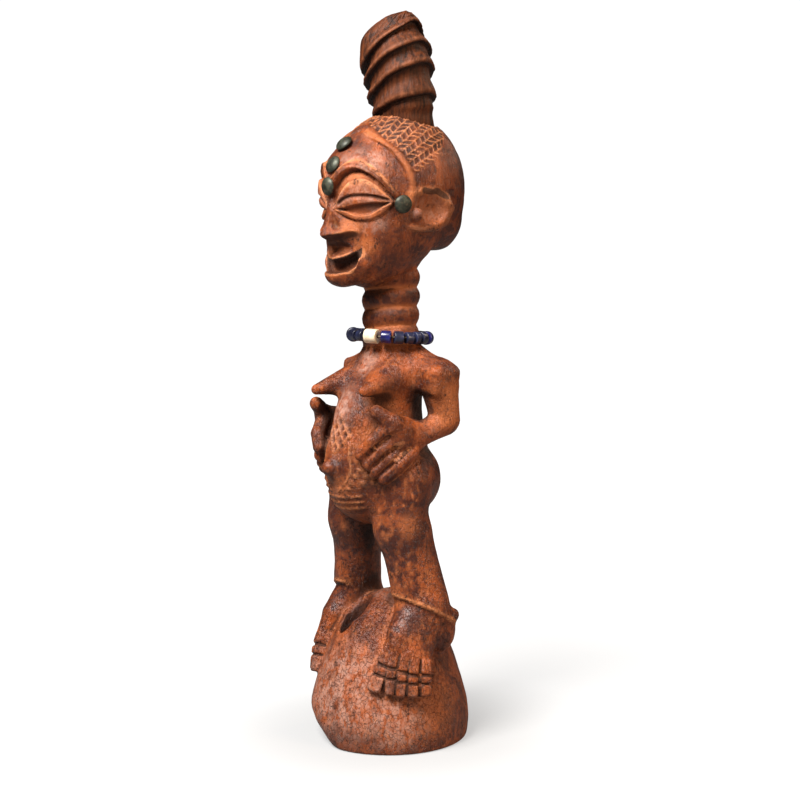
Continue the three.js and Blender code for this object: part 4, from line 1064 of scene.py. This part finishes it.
def turned_surface(outline, sides):
    """Rings of points round Z and the faces between them, closed at both poles."""
    angle = np.arange(sides) * 2 * np.pi / sides
    rings = outline[1:-1]
    x = rings[:, :1] * np.cos(angle)
    y = rings[:, :1] * np.sin(angle)
    z = np.repeat(rings[:, 1:], sides, axis=1)
    points = np.concatenate((np.stack((x, y, z), -1).reshape(-1, 3),
                             [(0, 0, outline[0, 1]), (0, 0, outline[-1, 1])]))
    grid = np.arange(len(rings) * sides).reshape(len(rings), sides)
    a, b = grid[:-1], np.roll(grid[:-1], -1, 1)
    c, d = np.roll(grid[1:], -1, 1), grid[1:]
    faces = np.stack((a, b, c, d), -1).reshape(-1, 4).tolist()
    low, high = len(points) - 2, len(points) - 1
    faces += [(low, int(grid[0, (i + 1) % sides]), int(grid[0, i])) for i in range(sides)]
    faces += [(high, int(grid[-1, i]), int(grid[-1, (i + 1) % sides])) for i in range(sides)]
    return points, faces


def new_piece(name, points, faces, material, replaced):
    mesh = bpy.data.meshes.new(name)
    mesh.from_pydata(points.tolist(), [], faces)
    mesh.polygons.foreach_set("use_smooth", np.ones(len(mesh.polygons), bool))
    mesh.materials.append(material)
    piece = in_scene(name, mesh)
    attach(piece, "root")
    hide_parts(*replaced)
    return piece


def smooth_outline(outline, spacing):
    """The same outline with points at about an even spacing."""
    made = [outline[0]]
    for a, b in zip(outline, outline[1:]):
        count = max(int(np.linalg.norm(b - a) / spacing), 1)
        made += [mix(a, b, k / count) for k in range(1, count + 1)]
    return np.array(made)


foot = SEAT_FLOOR + 0.35 - HORN_LOW[2]
skin = smooth_outline(horn_outline(), HORN_SPACING)
rings = np.array([(0, foot), (9, foot), (17.2, foot), (18.6, foot + 0.6), (HORN_FOOT_RADIUS, foot + 1.8),
                  *[(20, t) for t in skin[:, 1]], (0, HORN_TOP)])
horn_points, horn_faces = turned_surface(rings, HORN_SIDES)
x, y, t = horn_points.T
bearing = np.arctan2(y, x)
tipped = t + line(t, RIB_TIPS) * (RIB_SLANT[0] * np.cos(bearing) + RIB_SLANT[1] * np.sin(bearing))
stand_out = np.interp(t, skin[:, 1], skin[:, 0])
on_skin = (t > 1.9) & (t < HORN_TOP)
radius = np.where(on_skin, line(tipped, HORN_RADII) + stand_out, np.hypot(x, y))
x, y = radius * np.cos(bearing), radius * np.sin(bearing)
ripple = 0.35 * np.sin(3 * bearing + 0.11 * t) + 0.22 * np.sin(7 * bearing - 0.2 * t + 1.0)
fibre = np.array([noise.noise(Vector((math.cos(b) * 9, math.sin(b) * 9, h / 16)))
                  for b, h in zip(bearing, t)])
open_part = rise(t, 1, 8) * (radius > 4)
out = 1 + (0.5 * ripple + 0.55 * fibre) * open_part / np.maximum(np.hypot(x, y), 1)
rim_wave = open_part * (1 - rise(t, 50, 62)) * (0.5 * np.sin(2 * bearing + 0.7) + 0.35 * np.sin(5 * bearing))
over = TIP_BEND * np.maximum(tipped - TIP_BENDS_FROM, 0) ** 2
x, y = x + TIP_BEND_WAY[0] * over, y + TIP_BEND_WAY[1] * over
drift = (HORN_HIGH - HORN_LOW) / (HORN_HIGH - HORN_LOW)[2]
level = np.column_stack((x * out, y * out, np.zeros(len(t))))
horn_points = HORN_LOW + level + (tipped + rim_wave)[:, None] * drift

HORN_DARK = (0.016, 0.006, 0.0035, 1)
HORN_BROWN = (0.12, 0.031, 0.009, 1)
HORN_LIT = (0.24, 0.08, 0.035, 1)
# Near-black for the painted shadow under the rims.
HORN_SHADOW_BLACK = (0.01, 0.004, 0.003, 1)
HORN_FLECK = (0.40, 0.17, 0.07, 1)
horn_skin, shader, place = new_material("horn")
fibres = placed(LONG_FIBRES, place, Stretch=14.0, Scale=420.0)
mottle = placed(MOTTLING, place, Scale=55.0)
colour = blended(ranged(fibres["Streaks"], 0.36, 0.66), HORN_DARK, HORN_BROWN)
colour = blended(product(ranged(mottle["Patches"], 0.4, 0.66), 0.5), colour, HORN_BROWN)
# A painted highlight along the rim of each rib.
rim_highlight = product(kept(horn_skin.node_tree, "rim"), ranged(mottle["Blotches"], 0.35, 0.6, 0.9, 0.2))
colour = blended(rim_highlight, colour, HORN_LIT)
# Painted shadow under each overhanging rim.
colour = blended(product(kept(horn_skin.node_tree, "under_rim_shadow"), 0.85), colour, HORN_SHADOW_BLACK)
colour = blended(product(ranged(mottle["Speckle"], 0.6, 0.75), 0.25), colour, HORN_FLECK)
rough = total(0.36, product(fibres["Fibre"], 0.3))
finished_with(shader, colour, rough, 0.9, 0.0008, total(fibres["Streaks"], product(fibres["Fibre"], 0.4)))
shader["Specular IOR Level"].default_value = 0.2
horn = new_piece("ribbed_horn", to_metres(horn_points), horn_faces, horn_skin, ["crown_horn"])
# Masks for the painted highlight on the rims and the painted shadow under them.
rim_mark, under_rim_shadow_mark = np.zeros(len(t)), np.zeros(len(t))
for low in RIB_HEIGHTS:
    rim_mark = np.maximum(rim_mark, swell((t - low - 0.6) / 2.0) * (radius > 8))
    under_rim_shadow_mark = np.maximum(under_rim_shadow_mark, window(t, low - 4.5, low - 1.6, low - 0.9, low - 0.5))
keep_on(horn.data, {"rim": rim_mark, "under_rim_shadow": under_rim_shadow_mark})

# The tacks: domed heads of old brass gone green and black, driven into the forehead and temples.
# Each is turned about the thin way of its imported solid, which points out of the head.
TACKS = (
    "forehead_tack_top", "forehead_tack_middle", "forehead_tack_low", "temple_tack_left", "temple_tack_right",
)
TACK_OUTLINE = np.array((
    (0, 0.7), (2.5, 0.6), (4.6, 0.3), (5.8, 0.02), (6, 0.25), (5.9, 0.7), (5.4, 1.35), (4.5, 2.05),
    (3.2, 2.68), (1.6, 3.08), (0, 3.2),
))
TACK_SIDES = 48
OLD_BRASS = (0.016, 0.018, 0.012, 1)
GREEN_BRASS = (0.058, 0.064, 0.042, 1)
RUSTY_SPOT = (0.13, 0.09, 0.055, 1)

tack_skin, shader, place = new_material("old_brass")
mottle = placed(MOTTLING, place, Scale=190.0)
colour = blended(ranged(mottle["Patches"], 0.36, 0.64), OLD_BRASS, GREEN_BRASS)
colour = blended(product(ranged(mottle["Blotches"], 0.52, 0.7), 0.6), colour, RUSTY_SPOT)
finished_with(shader, colour, total(0.3, product(mottle["Blotches"], 0.4)), 0.4, 0.0004, mottle["Patches"])
shader["Metallic"].default_value = 0.4

tack_points, tack_faces = turned_surface(TACK_OUTLINE, TACK_SIDES)
for name in TACKS:
    solid = np.unique(np.round([v.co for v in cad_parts[name].data.vertices], 6), axis=0)
    middle = solid.mean(0)
    axis = Vector(np.linalg.svd(solid - middle)[2][2])
    if axis.dot(Vector(middle) - Vector((0, 0, middle[2] - 0.01))) < 0:
        axis.negate()
    heights = (solid - middle) @ np.array(axis)
    turn = np.array(Vector((0, 0, 1)).rotation_difference(axis).to_matrix())
    foot = middle + np.array(axis) * heights.min()
    new_piece(f"{name}_dome", tack_points / 1000 @ turn.T + foot, tack_faces, tack_skin, [name])

# The necklace: old trade beads of cobalt, slate and cream glass on a string, each a bored bead.
# Every kind is turned by one Geometry Nodes tree and set along the string. Each row below is a
# kind: its length, its radius at the middle and at the ends, and its glass.
NECKLACE_CENTRE = Vector((-0.0005, 0.0015, 0.2737))
NECKLACE_TURN = Matrix.Rotation(math.radians(-3.8), 3, "X") @ Matrix.Rotation(math.radians(-0.3), 3, "Y")
NECKLACE_RADIUS = 24.8
FIRST_BEAD_AT = -50
BORE_RADIUS = 1.1
BEAD_ROUNDING = 0.62
BEAD_KINDS = {
    "large_blue": (9.4, 4.9, 2.9, "slate"), "cobalt": (6.9, 4.2, 2.6, "cobalt"),
    "cobalt_ball": (8.2, 4.6, 2.7, "cobalt"), "blue_tube": (6, 4, 3.2, "slate"),
    "slate_tube": (6.1, 4.2, 3.4, "slate"), "small_tube": (5, 3.9, 3.1, "slate"),
    "cream_tube": (8.8, 4.8, 3.9, "cream"), "grey_ring": (3.6, 4.2, 3.5, "slate"),
    "white_ring": (3.3, 4.5, 3.7, "cream"),
}
BEAD_NODES = sorted(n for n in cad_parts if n.startswith("bead_"))
BEAD_ORDER = [n.split("_", 2)[2] for n in BEAD_NODES]


def glass(name, dark, light, roughness, spots):
    made, shader, place = new_material(name)
    mottle = placed(MOTTLING, place, Scale=160.0)
    colour = blended(ranged(mottle["Patches"], 0.35, 0.65), dark, light)
    colour = blended(product(ranged(mottle["Blotches"], 0.58, 0.72), 0.5), colour, spots)
    rough = total(roughness, product(mottle["Speckle"], 0.15))
    finished_with(shader, colour, rough, 0.25, 0.0003, mottle["Blotches"])
    shader["Coat Weight"].default_value = 0.2
    shader["Coat Roughness"].default_value = 0.12
    return made


GLASSES = {
    "cobalt": (glass("cobalt_glass", (0.006, 0.006, 0.055, 1), (0.012, 0.014, 0.135, 1), 0.2,
                     (0.03, 0.03, 0.10, 1)), "blue_glass"),
    "slate": (glass("slate_glass", (0.008, 0.009, 0.024, 1), (0.018, 0.022, 0.062, 1), 0.3,
                    (0.06, 0.06, 0.085, 1)), "slate_glass"),
    "cream": (glass("cream_glass", (0.66, 0.50, 0.33, 1), (0.86, 0.76, 0.58, 1), 0.25,
                    (0.48, 0.33, 0.20, 1)), "cream_glass"),
}


def bead_tree():
    """A bored bead: a rounded oblong swept round a ring, set on every point of the string."""
    tree = bpy.data.node_groups.new("beads_on_a_string", "GeometryNodeTree")
    kinds = {"Geometry": "Geometry", "Length": "Float", "Radius": "Float", "Bore": "Float",
             "Rounding": "Float", "Glass": "Material"}
    for label, kind in kinds.items():
        tree.interface.new_socket(label, in_out="INPUT", socket_type=f"NodeSocket{kind}")
    tree.interface.new_socket("Geometry", in_out="OUTPUT", socket_type="NodeSocketGeometry")
    given, result = tree.nodes.new("NodeGroupInput").outputs, tree.nodes.new("NodeGroupOutput").inputs

    def made(kind, inputs, **settings):
        return node(tree, f"GeometryNode{kind}", inputs=inputs, **settings).outputs[0]

    wall = maths("SUBTRACT", given["Radius"], given["Bore"])
    middle = product(total(given["Radius"], given["Bore"]), 0.5)
    ring = made("CurvePrimitiveCircle", {"Resolution": 36, "Radius": middle})
    section = made("CurvePrimitiveQuadrilateral", {"Width": wall, "Height": given["Length"]})
    rounded = made("FilletCurve", {"Curve": section, "Count": 5, "Radius": given["Rounding"],
                                   "Limit Radius": True}, mode="POLY")
    swept = made("CurveToMesh", {"Curve": ring, "Profile Curve": rounded})
    turn = made("InputNamedAttribute", {"Name": "turn"}, data_type="FLOAT_VECTOR")
    set_on = made("InstanceOnPoints", {"Points": given["Geometry"], "Instance": swept, "Rotation": turn})
    smooth = made("SetShadeSmooth", {"Geometry": made("RealizeInstances", {0: set_on})})
    skin = made("SetMaterial", {"Geometry": smooth, "Material": given["Glass"]})
    tree.links.new(skin, result["Geometry"])
    return tree


def bead_angles():
    halves = [math.atan(BEAD_KINDS[k][0] / 2 / (NECKLACE_RADIUS - BEAD_KINDS[k][2])) for k in BEAD_ORDER]
    space = (2 * math.pi - 2 * sum(halves)) / len(halves)
    reached, angles = math.radians(FIRST_BEAD_AT), []
    for half in halves:
        angles.append(reached + half)
        reached += 2 * half + space
    return angles


BEAD_TREE = bead_tree()
for kind, (length, radius, end, tint) in BEAD_KINDS.items():
    spots, turns = [], []
    for angle in (a for a, k in zip(bead_angles(), BEAD_ORDER) if k == kind):
        spot = Vector((math.sin(angle), -math.cos(angle), 0)) * NECKLACE_RADIUS / 1000
        spots.append(NECKLACE_CENTRE + NECKLACE_TURN @ spot)
        along = NECKLACE_TURN @ Vector((math.cos(angle), math.sin(angle), 0))
        turns.append(Vector((0, 0, 1)).rotation_difference(along).to_euler()[:])
    mesh = bpy.data.meshes.new(f"{kind}_beads")
    mesh.from_pydata(spots, [], [])
    mesh.attributes.new("turn", "FLOAT_VECTOR", "POINT").data.foreach_set("vector", np.ravel(turns))
    string = in_scene(f"{kind}_points", mesh)
    modifier = string.modifiers.new("Beads", "NODES")
    modifier.node_group = BEAD_TREE
    material, slot = GLASSES[tint]
    sizes = {"Length": length / 1000, "Radius": radius / 1000, "Bore": BORE_RADIUS / 1000,
             "Rounding": BEAD_ROUNDING * (radius - end) / 1000, "Glass": material}
    for item in BEAD_TREE.interface.items_tree:
        if item.in_out == "INPUT" and item.name in sizes:
            modifier[item.identifier] = sizes[item.name]
    bpy.context.view_layer.update()
    made = bpy.data.meshes.new_from_object(string.evaluated_get(bpy.context.evaluated_depsgraph_get()))
    bpy.data.objects.remove(string)
    made.name = f"{kind}_beads"
    beads = in_scene(f"{kind}_beads", made)
    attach(beads, "root")
    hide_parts(*[n for n, k in zip(BEAD_NODES, BEAD_ORDER) if k == kind])

# The string, of twisted plant fibre. It runs through every bead and lies round the neck; its shape
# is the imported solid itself.
DARK_FIBRE = (0.06, 0.04, 0.025, 1)
PALE_FIBRE = (0.25, 0.19, 0.12, 1)
fibre_skin, shader, place = new_material("string_fibre")
fibres = placed(LONG_FIBRES, place, Stretch=1.0, Scale=900.0)
fibre_skin.node_tree.links.new(blended(fibres["Streaks"], DARK_FIBRE, PALE_FIBRE), shader["Base Color"])
shader["Roughness"].default_value = 0.9
string_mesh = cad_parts["necklace_string"].data
string_mesh.materials.clear()
string_mesh.materials.append(fibre_skin)

# The studio: a pale floor and a pale surround. The floor glows evenly to the eye, and the glow is
# dimmed close to the base, as a painted soft shadow round the figure.
FLOOR_HALF = 6
floor_mesh = bpy.data.meshes.new("floor")
floor_corners = [(x * FLOOR_HALF, y * FLOOR_HALF, 0) for x, y in ((-1, -1), (1, -1), (1, 1), (-1, 1))]
floor_mesh.from_pydata(floor_corners, [], [(0, 1, 2, 3)])
floor = in_scene("floor", floor_mesh)
floor_skin, shader, place = new_material("pale_floor")
shader["Base Color"].default_value = (0.2, 0.2, 0.2, 1)
shader["Roughness"].default_value = 0.9
shader["Specular IOR Level"].default_value = 0.1
shader["Emission Color"].default_value = (1, 1, 1, 1)
tree = floor_skin.node_tree
seen = node(tree, "ShaderNodeLightPath").outputs["Is Camera Ray"]
away = node(tree, "ShaderNodeVectorMath", operation="LENGTH", inputs={0: place}).outputs["Value"]
# The glow to the eye, less near the base: a painted contact shadow.
seen_glow_with_painted_shadow = total(ranged(away, 0.15, 0.8, 0.79, 1.02), ranged(away, 0.05, 0.17, -0.28, 0.0))
tree.links.new(product(seen, seen_glow_with_painted_shadow), shader["Emission Strength"])
floor_mesh.materials.append(floor_skin)
floor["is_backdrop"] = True

# The camera stands off the figure's left front and looks slightly down, through a long lens.
AZIMUTH, ELEVATION = math.radians(50), math.radians(6.5)
CAMERA_DISTANCE = 1.15
LENS, SENSOR = 76.6, 36
AIM = Vector((0.0048, 0.0057, 0.2305))
right = Vector((math.cos(AZIMUTH), math.sin(AZIMUTH), 0))
back = Vector((math.sin(AZIMUTH) * math.cos(ELEVATION), -math.cos(AZIMUTH) * math.cos(ELEVATION),
               math.sin(ELEVATION)))
up = back.cross(right)
eye = AIM + back * CAMERA_DISTANCE
camera_data = bpy.data.cameras.new("camera")
camera_data.sensor_width = SENSOR
camera_data.lens = LENS
camera_data.clip_start, camera_data.clip_end = 0.05, 40
camera = in_scene("camera", camera_data)
camera.matrix_world = Matrix((*zip(right, up, back, eye), (0, 0, 0, 1)))
bpy.context.scene.camera = camera


# The lights: a large soft one from the upper left, a weaker warm one from the right, and a faint
# one from behind. Each is aimed at the middle of the figure.
def soft_light(name, toward, distance, size, power, tint):
    data = bpy.data.lights.new(name, "AREA")
    data.shape, data.size, data.energy, data.color = "DISK", size, power, tint
    light = in_scene(name, data)
    light.location = AIM + toward.normalized() * distance
    light.rotation_mode = "QUATERNION"
    light.rotation_quaternion = (AIM - light.location).to_track_quat("-Z", "Y")


soft_light("key", back * 0.9 - right * 0.55 + up * 1.1, 1.6, 0.8, 70, (1.0, 0.97, 0.94))
soft_light("fill", back * 0.8 + right * 1.0 + up * 0.3, 1.8, 0.8, 15, (1.0, 0.76, 0.52))
soft_light("rim", -back * 0.6 + right * 0.9 + up * 0.7, 1.6, 0.6, 4, (1.0, 0.82, 0.64))

# The surround is white to the eye, and dimmer as a light than it looks, so that shapes stay clear.
SURROUND_LIGHT = 0.04
SURROUND_SEEN = 1.02
world = bpy.data.worlds.new("surround")
world.use_nodes = True
tree = world.node_tree
sky = tree.nodes["Background"]
sky.inputs["Color"].default_value = (1, 1, 1, 1)
seen = node(tree, "ShaderNodeLightPath").outputs["Is Camera Ray"]
tree.links.new(total(SURROUND_LIGHT, product(seen, SURROUND_SEEN)), sky.inputs["Strength"])
bpy.context.scene.world = world
bpy.context.scene.view_settings.view_transform = "Standard"

low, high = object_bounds()
